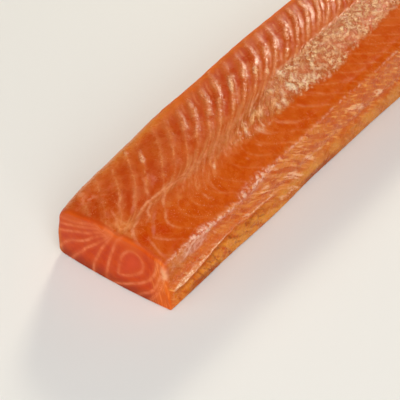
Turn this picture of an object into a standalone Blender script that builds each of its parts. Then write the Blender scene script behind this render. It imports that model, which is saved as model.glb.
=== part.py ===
"""Smoked salmon loin: one solid strip of skinless back fillet, lying on its skin side.

Frame: metres, +Z up, +Y from the narrow end to the thick end, +X to the trimmed side.
The origin is at the bottom centre of the loin.  Sizes below are in millimetres.

The solid is lofted from cross-sections along Y.  Each section is a five-sided outline
with rounded corners: flat base, trimmed side, right half of the top, left half of the
top and the back wall.  The two cut ends are nearly plane, a little skewed and bulged,
with softened rims.
"""

import math

import bmesh
import bpy
from mathutils import Vector
from mathutils.geometry import delaunay_2d_cdt

MM = 0.001

# --- overall sizes, mm ---------------------------------------------------------------
LENGTH = 240.0  # between the two cuts
CENTRE_X = -5.1  # shifts the sections so that the box is centred on the origin

# back wall (left side): it flares towards the thick end
WALL_NEAR_X = -28.0
WALL_FLARE = 16.2
WALL_FLARE_LENGTH = 105.0
WALL_LEAN = 2.6  # how far the top of the wall leans in

# trimmed side (right side)
SIDE_BASE_X = 32.2
SIDE_TOP_X = 29.6
SIDE_FAR_INSET = 1.6
CREASE_HEIGHT = 12.5  # long crease on the trimmed side
CREASE_DEPTH = 0.7

# heights of the top surface
SHOULDER_NEAR_Z, SHOULDER_RISE = 30.6, 2.6
SEAM_NEAR_Z, SEAM_RISE = 32.9, 2.6
RIDGE_NEAR_Z, RIDGE_RISE = 29.4, 3.4
END_DROP = 1.3  # the top falls away a little at each cut

# midline seam, where the backbone lay
SEAM_NEAR_X, SEAM_DRIFT, SEAM_DRIFT_AT, SEAM_DRIFT_OVER = 6.0, -13.0, 95.0, 28.0
SEAM_DEPTH, SEAM_WIDTH = 0.8, 2.6

# bulges of the flanks between the corners
TOP_RIGHT_BULGE, TOP_LEFT_BULGE, WALL_BULGE = 1.3, 1.0, 0.8

# corner radii
BASE_LEFT_R, BASE_RIGHT_R, RIDGE_R, SHOULDER_R = 2.6, 1.8, 4.6, 9.0

# cut ends
NEAR_SKEW, FAR_SKEW = 0.097, -0.035  # mm of length per mm of width
NEAR_BULGE, FAR_BULGE = 1.6, 1.1
NEAR_SHIFT, FAR_SHIFT = 1.45, 0.4  # sets the two cuts evenly about the origin
RIM_R = 1.5

# mesh steps: points on each edge and corner of a section, and sections along the loin
EDGE_POINTS = (7, 6, 8, 9, 5)
CORNER_POINTS = (3, 3, 5, 0, 6)
SECTIONS = 62
CAP_GRID = 4.0


def ease(t):
    t = min(1.0, max(0.0, t))
    return t * t * (3.0 - 2.0 * t)


def wobble(v, seed):
    """Slow unevenness along the loin, within about one millimetre."""
    return (
        0.45 * math.sin(v / 17.3 + 1.7 * seed)
        + 0.30 * math.sin(v / 9.1 + 2.9 * seed)
        + 0.25 * math.sin(v / 31.0 + 0.6 * seed)
    )


def seam_x(v):
    return SEAM_NEAR_X + SEAM_DRIFT / (
        1.0 + math.exp(-(v - SEAM_DRIFT_AT) / SEAM_DRIFT_OVER)
    )


def corners(v):
    """Corner points (x, z) of the section v mm from the narrow end, anticlockwise."""
    along = v / LENGTH
    drop = END_DROP * (
        (1.0 - ease(v / 16.0)) + (1.0 - ease((LENGTH - v) / 16.0))
    )
    wall = (
        WALL_NEAR_X
        - WALL_FLARE * (1.0 - math.exp(-v / WALL_FLARE_LENGTH))
        + 0.8 * wobble(v, 1.0)
    )
    base_right = SIDE_BASE_X - SIDE_FAR_INSET * along + 0.7 * wobble(v, 2.0)
    ridge = SIDE_TOP_X - SIDE_FAR_INSET * along + 0.7 * wobble(v, 3.0)
    rise = ease(along * 1.4)
    return [
        (wall, 0.0),
        (base_right, 0.0),
        (ridge, RIDGE_NEAR_Z + RIDGE_RISE * rise - drop + 0.3 * wobble(v, 4.0)),
        (seam_x(v), SEAM_NEAR_Z + SEAM_RISE * rise - 0.8 * drop),
        (
            wall + WALL_LEAN,
            SHOULDER_NEAR_Z + SHOULDER_RISE * rise - drop + 0.3 * wobble(v, 5.0),
        ),
    ]


def section(v):
    """Outline points (x, z), mm, of the section v mm from the narrow end."""
    radii = (BASE_LEFT_R, BASE_RIGHT_R, RIDGE_R, 0.0, SHOULDER_R)
    bulges = (0.0, 0.0, TOP_RIGHT_BULGE, TOP_LEFT_BULGE, WALL_BULGE)
    pts = [Vector(p) for p in corners(v)]
    n = len(pts)
    arcs = []
    for i in range(n):
        here, before, after = pts[i], pts[i - 1], pts[(i + 1) % n]
        a = (before - here).normalized()
        b = (after - here).normalized()
        half = math.acos(max(-1.0, min(1.0, a.dot(b)))) / 2.0
        if radii[i] == 0.0:
            arcs.append([here])
            continue
        reach = radii[i] / math.tan(half)
        start, end = here + a * reach, here + b * reach
        centre = here + (a + b).normalized() * (radii[i] / math.sin(half))
        s, e = start - centre, end - centre
        turn = math.atan2(s.x * e.y - s.y * e.x, s.dot(e))
        count = CORNER_POINTS[i] + 1
        arc = []
        for j in range(count + 1):
            t = turn * j / count
            arc.append(
                centre
                + Vector(
                    (
                        s.x * math.cos(t) - s.y * math.sin(t),
                        s.x * math.sin(t) + s.y * math.cos(t),
                    )
                )
            )
        arcs.append(arc)
    outline = []
    for i in range(n):
        outline += arcs[i]
        start, end = arcs[i][-1], arcs[(i + 1) % n][0]
        out = Vector(((end - start).y, -(end - start).x)).normalized()
        for j in range(1, EDGE_POINTS[i] + 1):
            t = j / (EDGE_POINTS[i] + 1)
            p = start.lerp(end, t) + out * bulges[i] * math.sin(math.pi * t) ** 2
            outline.append(p)
    middle = seam_x(v)
    shaped = []
    for p in outline:
        x, z = p.x, p.y
        if z > 20.0:  # the seam is a shallow groove in the top
            z -= SEAM_DEPTH * math.exp(-(((x - middle) / SEAM_WIDTH) ** 2))
        if x > middle + 5.0:  # the crease runs along the trimmed side
            x -= CREASE_DEPTH * math.exp(-(((z - CREASE_HEIGHT) / 3.0) ** 2))
        shaped.append((x - CENTRE_X, max(0.0, z)))
    return shaped


def cut_y(x, z, far):
    """Y of the cut face at (x, z): near or far end, mm from the middle of the loin."""
    x += CENTRE_X
    # fullest at the foot of the cut, and a little set back towards its top rim
    swell = max(0.0, 1.0 - ((x + 2.0) / 34.0) ** 2) * (1.0 - 0.5 * ease(z / 34.0))
    if far:
        return LENGTH / 2.0 + FAR_SHIFT + FAR_SKEW * x + FAR_BULGE * swell
    return -LENGTH / 2.0 + NEAR_SHIFT + NEAR_SKEW * x - NEAR_BULGE * swell


def inset(outline, amount):
    """The outline moved inwards by amount."""
    n = len(outline)
    moved = []
    for i in range(n):
        a, b = Vector(outline[i - 1]), Vector(outline[(i + 1) % n])
        along = (b - a).normalized()
        moved.append(
            (outline[i][0] - along.y * amount, outline[i][1] + along.x * amount)
        )
    return moved


def cap(bm, rim, far):
    """Fills the cut inside the rim loop with an even net of small faces."""
    flat = [Vector((v.co.x / MM, v.co.z / MM)) for v in rim]
    n = len(flat)
    lo_x, hi_x = min(p.x for p in flat), max(p.x for p in flat)
    lo_z, hi_z = min(p.y for p in flat), max(p.y for p in flat)

    def inside(p):
        odd, near = False, 1e9
        for i in range(n):
            a, b = flat[i - 1], flat[i]
            if (a.y > p.y) != (b.y > p.y) and p.x < a.x + (p.y - a.y) * (b.x - a.x) / (
                b.y - a.y
            ):
                odd = not odd
            t = max(0.0, min(1.0, (p - a).dot(b - a) / (b - a).length_squared))
            near = min(near, (a.lerp(b, t) - p).length)
        return odd and near > CAP_GRID * 0.55

    points = list(flat)
    row = 0
    z = lo_z + CAP_GRID * 0.5
    while z < hi_z:
        x = lo_x + (CAP_GRID * 0.5 if row % 2 else 0.0)
        while x < hi_x:
            if inside(Vector((x, z))):
                points.append(Vector((x, z)))
            x += CAP_GRID
        z += CAP_GRID * 0.87
        row += 1
    loop = [(i, (i + 1) % n) for i in range(n)]
    co, _, faces, origin, _, _ = delaunay_2d_cdt(points, loop, [], 1, 1e-6)
    verts = []
    for p, source in zip(co, origin):
        if source and source[0] < n:
            verts.append(rim[source[0]])
        else:
            y = cut_y(p.x, p.y, far)
            verts.append(bm.verts.new((p.x * MM, y * MM, p.y * MM)))
    for f in faces:
        bm.faces.new([verts[i] for i in f])


def build_loin():
    bm = bmesh.new()
    loops = []
    rim_steps = 3
    stations = [
        LENGTH * (0.5 - 0.5 * math.cos(math.pi * (0.12 + 0.76 * i / (SECTIONS - 1))))
        for i in range(SECTIONS)
    ]
    low, high = stations[0], stations[-1]
    stations = [
        RIM_R + 0.6 + (s - low) / (high - low) * (LENGTH - 2.0 * RIM_R - 1.2)
        for s in stations
    ]

    def ring(points, ys):
        return [
            bm.verts.new((x * MM, y * MM, z * MM)) for (x, z), y in zip(points, ys)
        ]

    # near rim: from the cut face outwards over the softened edge
    first, last = section(0.0), section(LENGTH)
    for j in range(rim_steps):
        turn = math.pi / 2.0 * j / rim_steps
        pts = inset(first, RIM_R * (1.0 - math.sin(turn)))
        back = RIM_R * (1.0 - math.cos(turn))
        loops.append(ring(pts, [cut_y(x, z, False) + back for x, z in pts]))
    for v in stations:
        pts = section(v)
        # sections next to a cut lean with it, and those further in are square
        ys = []
        for x, z in pts:
            near = 1.0 - ease(v / 40.0)
            far = 1.0 - ease((LENGTH - v) / 40.0)
            y = v - LENGTH / 2.0
            y += near * (cut_y(x, z, False) + LENGTH / 2.0)
            y += far * (cut_y(x, z, True) - LENGTH / 2.0)
            ys.append(y)
        loops.append(ring(pts, ys))
    for j in range(rim_steps - 1, -1, -1):
        turn = math.pi / 2.0 * j / rim_steps
        pts = inset(last, RIM_R * (1.0 - math.sin(turn)))
        back = RIM_R * (1.0 - math.cos(turn))
        loops.append(ring(pts, [cut_y(x, z, True) - back for x, z in pts]))

    n = len(first)
    for a, b in zip(loops, loops[1:]):
        for i in range(n):
            j = (i + 1) % n
            bm.faces.new((a[i], a[j], b[j], b[i]))
    cap(bm, loops[0], False)
    cap(bm, loops[-1], True)
    bmesh.ops.triangulate(bm, faces=bm.faces[:])
    bmesh.ops.recalc_face_normals(bm, faces=bm.faces[:])

    mesh = bpy.data.meshes.new("salmon_loin")
    bm.to_mesh(mesh)
    bm.free()
    mesh.shade_smooth()
    mesh.set_sharp_from_angle(angle=math.radians(50.0))
    loin = bpy.data.objects.new("salmon_loin", mesh)
    bpy.context.scene.collection.objects.link(loin)
    return loin


def flesh():
    material = bpy.data.materials.new("salmon_flesh")
    material.use_nodes = True
    shader = material.node_tree.nodes["Principled BSDF"]
    shader.inputs["Base Color"].default_value = (0.53, 0.095, 0.018, 1.0)
    shader.inputs["Roughness"].default_value = 0.35
    shader.inputs["Metallic"].default_value = 0.0
    return material


def main():
    for obj in list(bpy.data.objects):
        bpy.data.objects.remove(obj)
    loin = build_loin()
    loin.data.materials.append(flesh())


main()
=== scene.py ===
"""Looks of the smoked salmon loin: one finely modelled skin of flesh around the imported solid.

The surface is built again from the same sections as the solid, at about half a millimetre, and the muscle
layers (myosepta), the seam, the ribbed fat edge, the fold and the torn foot of the trimmed side are raised
or sunk in it.  Each vertex carries where it lies between two layers, so that the material can draw the fat
lines at their true width.  Sizes are in millimetres until the mesh is made.
"""

import math

import bpy
import numpy as np
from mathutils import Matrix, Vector
from mathutils.geometry import delaunay_2d_cdt


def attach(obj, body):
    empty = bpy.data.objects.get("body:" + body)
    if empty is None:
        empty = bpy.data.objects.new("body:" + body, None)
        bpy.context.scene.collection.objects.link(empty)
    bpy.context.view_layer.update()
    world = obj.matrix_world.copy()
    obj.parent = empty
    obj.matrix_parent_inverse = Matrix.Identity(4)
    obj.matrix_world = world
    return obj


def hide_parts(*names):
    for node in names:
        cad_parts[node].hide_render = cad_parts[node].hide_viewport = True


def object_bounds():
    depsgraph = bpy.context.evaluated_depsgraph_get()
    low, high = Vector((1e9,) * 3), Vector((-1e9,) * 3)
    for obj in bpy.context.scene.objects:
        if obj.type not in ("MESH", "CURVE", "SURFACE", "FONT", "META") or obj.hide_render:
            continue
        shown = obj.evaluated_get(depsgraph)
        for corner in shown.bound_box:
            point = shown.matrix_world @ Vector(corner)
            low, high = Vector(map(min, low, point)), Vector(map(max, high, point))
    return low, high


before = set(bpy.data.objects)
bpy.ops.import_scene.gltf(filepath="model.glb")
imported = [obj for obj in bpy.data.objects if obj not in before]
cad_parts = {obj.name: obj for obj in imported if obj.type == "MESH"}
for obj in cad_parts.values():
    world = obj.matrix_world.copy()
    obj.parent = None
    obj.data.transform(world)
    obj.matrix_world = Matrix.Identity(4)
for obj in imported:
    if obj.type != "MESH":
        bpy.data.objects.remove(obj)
cad_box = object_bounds()

MM = 0.001

# --- sizes of the solid, as in the part ------------------------------------------------
LENGTH = 240.0
CENTRE_X = -5.1
WALL_NEAR_X, WALL_FLARE, WALL_FLARE_LENGTH, WALL_LEAN = -28.0, 16.2, 105.0, 2.6
SIDE_BASE_X, SIDE_TOP_X, SIDE_FAR_INSET = 32.2, 29.6, 1.6
CREASE_HEIGHT, CREASE_DEPTH = 12.5, 0.7
SHOULDER_NEAR_Z, SHOULDER_RISE = 30.6, 2.6
SEAM_NEAR_Z, SEAM_RISE = 32.9, 2.6
RIDGE_NEAR_Z, RIDGE_RISE = 29.4, 3.4
END_DROP = 1.3
SEAM_NEAR_X, SEAM_DRIFT, SEAM_DRIFT_AT, SEAM_DRIFT_OVER = 6.0, -13.0, 95.0, 28.0
SEAM_DEPTH, SEAM_WIDTH = 0.8, 2.6
BULGES = (0.0, 0.0, 1.3, 1.0, 0.8)
RADII = (2.6, 0.7, 4.6, 0.0, 9.0)
NEAR_SKEW, FAR_SKEW = 0.097, -0.035
NEAR_BULGE, FAR_BULGE = 1.6, 1.1
NEAR_SHIFT, FAR_SHIFT = 1.45, 0.4
RIM_R = 1.5

# --- steps of the fine mesh ------------------------------------------------------------
EDGE_N = (24, 46, 60, 66, 30)  # points inside each edge: base, side, top right, top left, wall
ARC_N = (4, 4, 12, 0, 16)  # segments round each corner
RINGS = 296
RIM_STEPS = 6
CAP_STEP = 0.62

# --- muscle layers on the top ----------------------------------------------------------
# how far a layer's line has moved along the loin, at a distance from the seam (left is minus), on the narrow
# and on the thick half
SWEEP_AT = (-90, -60, -45, -35, -30, -27, -24, -21, -18, -15, -12, -10, -8, -5, -2, 0, 1, 2, 3.5, 5, 7, 9, 11, 14, 17, 20, 24, 28, 32, 36, 60)
SWEEP_NEAR = (78, 50, 37, 28.5, 23.8, 21.6, 19.4, 17.4, 15.2, 13.0, 10.3, 8.3, 6.3, 3.3, -0.2, -4.2, -8.2, -12.0, -14.6, -16.7, -18.8, -21.0, -23.6, -25.3, -24.2, -21.5, -17.3, -13, -9, -5, 19)
SWEEP_FAR = (82, 52, 39.5, 30.5, 25.8, 23.2, 20.8, 18.9, 17.0, 13.8, 10.5, 8.3, 5.3, 1.2, -3.7, -9.7, -12.2, -14.5, -17.5, -20, -22.7, -25.2, -27.5, -30, -29.5, -27, -22.5, -17.5, -12.5, -8, 16)
# where the first layers cross, then one about every LAYER_GAP
FIRST_LAYERS = (-63.7, -54.2, -44.7, -37.7, -26.7, -18.7, -9.7, -1.7, 8.3, 17.3, 28.3, 38.3)
LAYER_GAP = 9.3
NEAR_CUT_AT = 61.4  # station v of the row's reference line, y = 0 in the sweep above


def ease(t):
    t = np.clip(t, 0.0, 1.0)
    return t * t * (3.0 - 2.0 * t)


def step_up(x, lo, hi):
    return ease((x - lo) / (hi - lo))


def bell(x, width):
    return np.exp(-((x / width) ** 2))


# --- noise ------------------------------------------------------------------------------
def _hash(ix, iy, iz, seed):
    h = (
        ix.astype(np.uint64) * np.uint64(0x9E3779B1)
        + iy.astype(np.uint64) * np.uint64(0x85EBCA77)
        + iz.astype(np.uint64) * np.uint64(0xC2B2AE3D)
        + np.uint64(seed * 0x27D4EB2F + 12345)
    ) & np.uint64(0xFFFFFFFF)
    h ^= h >> np.uint64(15)
    h = (h * np.uint64(0x2C1B3C6D)) & np.uint64(0xFFFFFFFF)
    h ^= h >> np.uint64(12)
    h = (h * np.uint64(0x297A2D39)) & np.uint64(0xFFFFFFFF)
    h ^= h >> np.uint64(15)
    return h


def noise(p, seed=0):
    """Gradient noise, about -1 to 1, at points p (n, 3)."""
    p = np.asarray(p, float)
    base = np.floor(p)
    f = p - base
    w = f * f * f * (f * (f * 6.0 - 15.0) + 10.0)
    i = base.astype(np.int64)
    out = np.zeros(len(p))
    for dx in (0, 1):
        for dy in (0, 1):
            for dz in (0, 1):
                h = _hash(i[:, 0] + dx + 4096, i[:, 1] + dy + 4096, i[:, 2] + dz + 4096, seed)
                gx = (h & np.uint64(1023)).astype(float) / 511.5 - 1.0
                gy = ((h >> np.uint64(10)) & np.uint64(1023)).astype(float) / 511.5 - 1.0
                gz = ((h >> np.uint64(20)) & np.uint64(1023)).astype(float) / 511.5 - 1.0
                dot = gx * (f[:, 0] - dx) + gy * (f[:, 1] - dy) + gz * (f[:, 2] - dz)
                wx = w[:, 0] if dx else 1.0 - w[:, 0]
                wy = w[:, 1] if dy else 1.0 - w[:, 1]
                wz = w[:, 2] if dz else 1.0 - w[:, 2]
                out += dot * wx * wy * wz
    return out * 1.25


def fbm(p, octaves=3, seed=0, gain=0.5):
    total, amount, size, top = 0.0, 1.0, 1.0, 0.0
    p = np.asarray(p, float)
    for k in range(octaves):
        total = total + amount * noise(p * size + 17.3 * k, seed + 7 * k)
        top += amount
        amount *= gain
        size *= 2.03
    return total / top


def ridged(p, octaves=2, seed=0):
    total, amount, size, top = 0.0, 1.0, 1.0, 0.0
    p = np.asarray(p, float)
    for k in range(octaves):
        total = total + amount * (1.0 - 2.2 * np.abs(noise(p * size + 9.1 * k, seed + 5 * k)))
        top += amount
        amount *= 0.5
        size *= 2.1
    return total / top


def cols(*a):
    return np.stack([np.broadcast_to(np.asarray(x, float), np.shape(a[0])) for x in a], axis=-1)


# --- the section, as in the part --------------------------------------------------------
def wobble(v, seed):
    return (
        0.45 * np.sin(v / 17.3 + 1.7 * seed)
        + 0.30 * np.sin(v / 9.1 + 2.9 * seed)
        + 0.25 * np.sin(v / 31.0 + 0.6 * seed)
    )


def seam_x(v):
    return SEAM_NEAR_X + SEAM_DRIFT / (1.0 + np.exp(-(v - SEAM_DRIFT_AT) / SEAM_DRIFT_OVER))


def corners(v):
    along = v / LENGTH
    drop = END_DROP * ((1.0 - ease(v / 16.0)) + (1.0 - ease((LENGTH - v) / 16.0)))
    wall = WALL_NEAR_X - WALL_FLARE * (1.0 - np.exp(-v / WALL_FLARE_LENGTH)) + 0.8 * wobble(v, 1.0)
    base_right = SIDE_BASE_X - SIDE_FAR_INSET * along + 0.7 * wobble(v, 2.0)
    ridge = SIDE_TOP_X - SIDE_FAR_INSET * along + 0.7 * wobble(v, 3.0)
    rise = ease(along * 1.4)
    zero = np.zeros_like(v)
    pts = [
        (wall, zero),
        (base_right, zero),
        (ridge, RIDGE_NEAR_Z + RIDGE_RISE * rise - drop + 0.3 * wobble(v, 4.0)),
        (seam_x(v), SEAM_NEAR_Z + SEAM_RISE * rise - 0.8 * drop),
        (wall + WALL_LEAN, SHOULDER_NEAR_Z + SHOULDER_RISE * rise - drop + 0.3 * wobble(v, 5.0)),
    ]
    return np.stack([np.stack(p, -1) for p in pts], 1)  # (nv, 5, 2)


def sections(v):
    """Outlines (nv, n, 2) in section x and z, and the index of each corner's middle."""
    c = corners(v)
    n = 5
    arcs, marks = [], []
    for i in range(n):
        here, before, after = c[:, i], c[:, i - 1], c[:, (i + 1) % n]
        if RADII[i] == 0.0:
            arcs.append(here[:, None, :])
            continue
        a = before - here
        a /= np.linalg.norm(a, axis=1, keepdims=True)
        b = after - here
        b /= np.linalg.norm(b, axis=1, keepdims=True)
        half = np.arccos(np.clip((a * b).sum(1), -1, 1)) / 2.0
        reach = (RADII[i] / np.tan(half))[:, None]
        start, end = here + a * reach, here + b * reach
        mid = a + b
        mid /= np.linalg.norm(mid, axis=1, keepdims=True)
        centre = here + mid * (RADII[i] / np.sin(half))[:, None]
        s, e = start - centre, end - centre
        turn = np.arctan2(s[:, 0] * e[:, 1] - s[:, 1] * e[:, 0], (s * e).sum(1))
        arc = []
        for j in range(ARC_N[i] + 1):
            t = turn * j / ARC_N[i]
            arc.append(
                centre
                + np.stack(
                    [s[:, 0] * np.cos(t) - s[:, 1] * np.sin(t), s[:, 0] * np.sin(t) + s[:, 1] * np.cos(t)], -1
                )
            )
        arcs.append(np.stack(arc, 1))
    parts, at = [], 0
    for i in range(n):
        marks.append(at + arcs[i].shape[1] // 2)
        parts.append(arcs[i])
        at += arcs[i].shape[1]
        start, end = arcs[i][:, -1], arcs[(i + 1) % n][:, 0]
        d = end - start
        out = np.stack([d[:, 1], -d[:, 0]], -1)
        out /= np.linalg.norm(out, axis=1, keepdims=True)
        t = (np.arange(1, EDGE_N[i] + 1) / (EDGE_N[i] + 1))[None, :, None]
        parts.append(
            start[:, None] + d[:, None] * t + out[:, None] * BULGES[i] * np.sin(math.pi * t) ** 2
        )
        at += EDGE_N[i]
    p = np.concatenate(parts, 1)
    middle = seam_x(v)[:, None]
    x, z = p[..., 0], p[..., 1]
    z = z - np.where(z > 20.0, SEAM_DEPTH * bell(x - middle, SEAM_WIDTH), 0.0)
    x = x - np.where(x > middle + 5.0, CREASE_DEPTH * bell(z - CREASE_HEIGHT, 3.0), 0.0)
    return np.stack([x, np.maximum(0.0, z)], -1), marks


def cut_y(x, z, far):
    swell = np.maximum(0.0, 1.0 - ((x + 2.0) / 34.0) ** 2) * (1.0 - 0.5 * ease(z / 34.0))
    if far:
        return LENGTH / 2.0 + FAR_SHIFT + FAR_SKEW * x + FAR_BULGE * swell
    return -LENGTH / 2.0 + NEAR_SHIFT + NEAR_SKEW * x - NEAR_BULGE * swell


# --- layers -----------------------------------------------------------------------------
_fine_u = np.arange(-90.0, 60.01, 0.25)
_k = np.exp(-0.5 * (np.arange(-16, 17) * 0.25 / 0.9) ** 2)


def _soft_table(values):
    h = np.interp(_fine_u, SWEEP_AT, values)
    return np.convolve(np.pad(h, 16, mode="reflect", reflect_type="odd"), _k / _k.sum(), mode="valid")


_near_h, _far_h = _soft_table(SWEEP_NEAR), _soft_table(SWEEP_FAR)


def sweep(u, v):
    near, far = np.interp(u, _fine_u, _near_h), np.interp(u, _fine_u, _far_h)
    return near + (far - near) * step_up(v, 40.0, 95.0)


def blobs(a, b, spots):
    """Soft oblong spots (a, b, half length, half width, slant in degrees, strength), the strongest counts."""
    out = np.zeros_like(a)
    for sa, sb, length, width, slant, strength in spots:
        c, s = math.cos(math.radians(slant)), math.sin(math.radians(slant))
        da, db = a - sa, b - sb
        out = np.maximum(
            out, strength * np.exp(-(((da * c + db * s) / length) ** 2) - ((db * c - da * s) / width) ** 2)
        )
    return out


def from_strokes(a, b, strokes):
    """Distance in mm to the nearest of some polylines (half width, strength, points), less its half width,
    and that stroke's strength."""
    best, strength = np.full(len(a), 9.0), np.zeros(len(a))
    q = np.stack([a, b], -1)
    for half, amount, points in strokes:
        line = smooth_curve(points, False)
        lo, hi = line.min(0) - 4.0, line.max(0) + 4.0
        near = np.flatnonzero(((q > lo) & (q < hi)).all(1))
        d, at = np.full(len(near), 9.0), np.zeros(len(near))
        knots = line[::3]
        for k, (p0, p1) in enumerate(zip(knots[:-1], knots[1:])):
            step = p1 - p0
            t = np.clip(((q[near] - p0) @ step) / max(1e-9, float(step @ step)), 0, 1)
            here = np.hypot(*(q[near] - p0 - t[:, None] * step).T)
            win = here < d
            d[win], at[win] = here[win], (k + t[win]) / (len(knots) - 1)
        d = d / half
        win = d < best[near]
        best[near[win]] = d[win]
        strength[near[win]] = amount * step_up(np.minimum(at, 1.0 - at)[win], -0.05, 0.30)
    return best, strength


def layer_places():
    """Where the layers cross along the loin: the first ones, then on with an even but living rhythm."""
    places = list(FIRST_LAYERS)
    k = 0
    while places[-1] < 330.0:
        places.append(places[-1] + LAYER_GAP + 0.9 * math.sin(2.4 * k + 0.5) + 0.5 * math.sin(5.1 * k))
        k += 1
    while places[0] > -160.0:
        places.insert(0, places[0] - LAYER_GAP - 0.7 * math.sin(1.9 * k))
        k += 1
    return np.array(places)


PLACES = layer_places()


def layer_phase(f):
    return np.interp(f, PLACES, np.arange(len(PLACES), dtype=float))


# --- the near cut's rings and rays ------------------------------------------------------
# The first is the ring; the others start under the seam and go down and round.  Points outside the flesh
# only close the curve.
CUT_CURVES = [
    [(14.5, 26.6), (12.4, 25.6), (10.5, 23.6), (9.0, 21.0), (8.0, 18.0), (7.2, 14.0), (6.8, 11.0), (6.4, 8.8), (7.4, 8.3), (10.0, 9.4), (12.5, 11.0), (15.0, 13.0), (17.0, 15.0), (18.6, 17.2), (19.3, 19.8), (19.0, 22.5), (17.8, 25.0), (16.2, 26.4)],
    [(8.6, 31.6), (7.0, 29.0), (6.0, 27.0), (5.0, 24.0), (4.0, 21.0), (3.0, 18.0), (2.0, 14.0), (1.1, 10.0), (0.5, 7.0), (0.0, 3.2), (0.4, 1.3), (2.0, 0.3), (5.0, 1.2), (8.0, 2.7), (11.0, 4.5), (13.0, 6.0), (15.0, 7.3), (17.0, 8.7), (19.0, 10.5), (21.0, 12.6), (22.6, 14.6), (24.0, 17.4), (25.2, 21.0), (26.2, 26.0), (26.6, 31.0), (25.0, 42.0), (9.4, 42.0)],
    [(4.4, 31.4), (2.0, 26.0), (0.0, 22.0), (-2.0, 18.0), (-4.0, 13.0), (-6.0, 8.0), (-7.0, 4.0), (-7.3, 0.5), (-7.0, -6.0), (0.0, -9.0), (10.0, -5.0), (15.0, -0.5), (17.0, 1.5), (19.0, 3.5), (21.0, 5.2), (23.0, 7.3), (24.6, 10.2), (26.0, 14.0), (27.4, 19.0), (28.5, 25.0), (30.0, 33.0), (28.0, 44.0), (6.0, 44.0)],
    [(3.4, 30.4), (0.4, 25.6), (-3.0, 21.6), (-6.0, 18.0), (-9.0, 15.0), (-11.0, 12.5), (-13.0, 9.6), (-15.0, 7.0), (-17.0, 4.5), (-19.3, 1.2), (-23.0, -5.0), (0.0, -14.0), (16.0, -8.0), (20.5, -1.0), (22.0, 1.0), (24.0, 4.0), (25.5, 7.0), (26.9, 10.8), (28.2, 15.6), (30.2, 22.0), (33.0, 32.0), (36.0, 46.0), (4.0, 46.0)],
    [(2.8, 29.8), (0.0, 27.2), (-3.0, 25.0), (-6.0, 22.5), (-9.0, 19.3), (-12.0, 16.8), (-15.0, 15.0), (-17.5, 13.7), (-20.0, 12.0), (-22.2, 9.7), (-24.0, 7.4), (-27.0, 3.5), (-36.0, -5.0), (-20.0, -22.0), (30.0, -18.0), (50.0, 10.0), (44.0, 50.0), (3.9, 50.0)],
    [(2.2, 29.9), (-1.0, 28.3), (-5.0, 26.0), (-8.0, 23.9), (-11.0, 22.3), (-14.0, 21.0), (-17.0, 19.5), (-20.0, 17.8), (-23.0, 16.3), (-26.0, 15.2), (-38.0, 11.0), (-50.0, -30.0), (40.0, -30.0), (60.0, 10.0), (50.0, 54.0), (3.85, 54.0)],
    [(1.6, 30.4), (-3.0, 29.3), (-6.0, 28.0), (-10.0, 26.0), (-14.0, 24.2), (-17.0, 23.0), (-20.0, 21.6), (-23.0, 20.5), (-27.0, 19.5), (-40.0, 17.0), (-60.0, -40.0), (50.0, -40.0), (70.0, 10.0), (56.0, 58.0), (3.8, 58.0)],
    [(0.6, 31.2), (-4.0, 30.7), (-8.0, 29.3), (-12.0, 27.4), (-16.0, 25.9), (-20.0, 24.9), (-24.0, 24.1), (-30.0, 23.0), (-44.0, 22.0), (-70.0, -50.0), (60.0, -50.0), (80.0, 10.0), (60.0, 62.0), (3.75, 62.0)],
]


def smooth_curve(points, closed):
    """Centripetal-like Catmull-Rom curve through the points, as a fine polyline."""
    p = np.array(points, float)
    n = len(p)
    out = []
    for i in range(n if closed else n - 1):
        p0, p1, p2, p3 = (p[(i + k) % n] if closed else p[min(n - 1, max(0, i + k))] for k in (-1, 0, 1, 2))
        t = np.linspace(0, 1, 13)[:-1][:, None]
        out.append(
            0.5
            * (
                2 * p1
                + (p2 - p0) * t
                + (2 * p0 - 5 * p1 + 4 * p2 - p3) * t**2
                + (3 * p1 - p0 - 3 * p2 + p3) * t**3
            )
        )
    out = np.concatenate(out)
    return out if closed else np.concatenate([out, p[-1:]])


def to_curve(q, curve):
    """Distance of points q (n, 2) to a closed polyline, and whether they lie inside it."""
    a = curve
    b = np.roll(curve, -1, axis=0)
    best = np.full(len(q), 1e9)
    inside = np.zeros(len(q), bool)
    for i in range(len(a)):
        d = b[i] - a[i]
        l2 = max(1e-12, float(d @ d))
        t = np.clip(((q - a[i]) @ d) / l2, 0, 1)
        best = np.minimum(best, np.hypot(*(q - a[i] - t[:, None] * d).T))
        cross = (a[i, 1] > q[:, 1]) != (b[i, 1] > q[:, 1])
        if abs(d[1]) > 1e-12:
            inside ^= cross & (q[:, 0] < a[i, 0] + (q[:, 1] - a[i, 1]) * d[0] / d[1])
    return best, inside


_curves = [smooth_curve(c, True) for c in CUT_CURVES]


def cut_phase(x, z):
    """Which pair of rings or rays a point of the cut lies between, and how far apart they are there."""
    q = np.stack([x, z], -1)
    dist, inside = zip(*(to_curve(q, c) for c in _curves))
    dist = np.array(dist)
    level = np.array([~i for i in inside]).sum(0)  # how many curves the point is outside of
    below = np.clip(level - 1, 0, len(_curves) - 1)
    above = np.clip(level, 0, len(_curves) - 1)
    n = np.arange(len(q))
    d0, d1 = dist[below, n], dist[above, n]
    phase = below + d0 / np.maximum(1e-6, d0 + d1)
    space = d0 + d1
    first = level == 0
    phase[first], space[first] = -dist[0, first] / 18.0, 18.0
    last = level == len(_curves)
    phase[last], space[last] = len(_curves) - 1 + dist[-1, last] / 14.0, 14.0
    return phase, space


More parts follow.
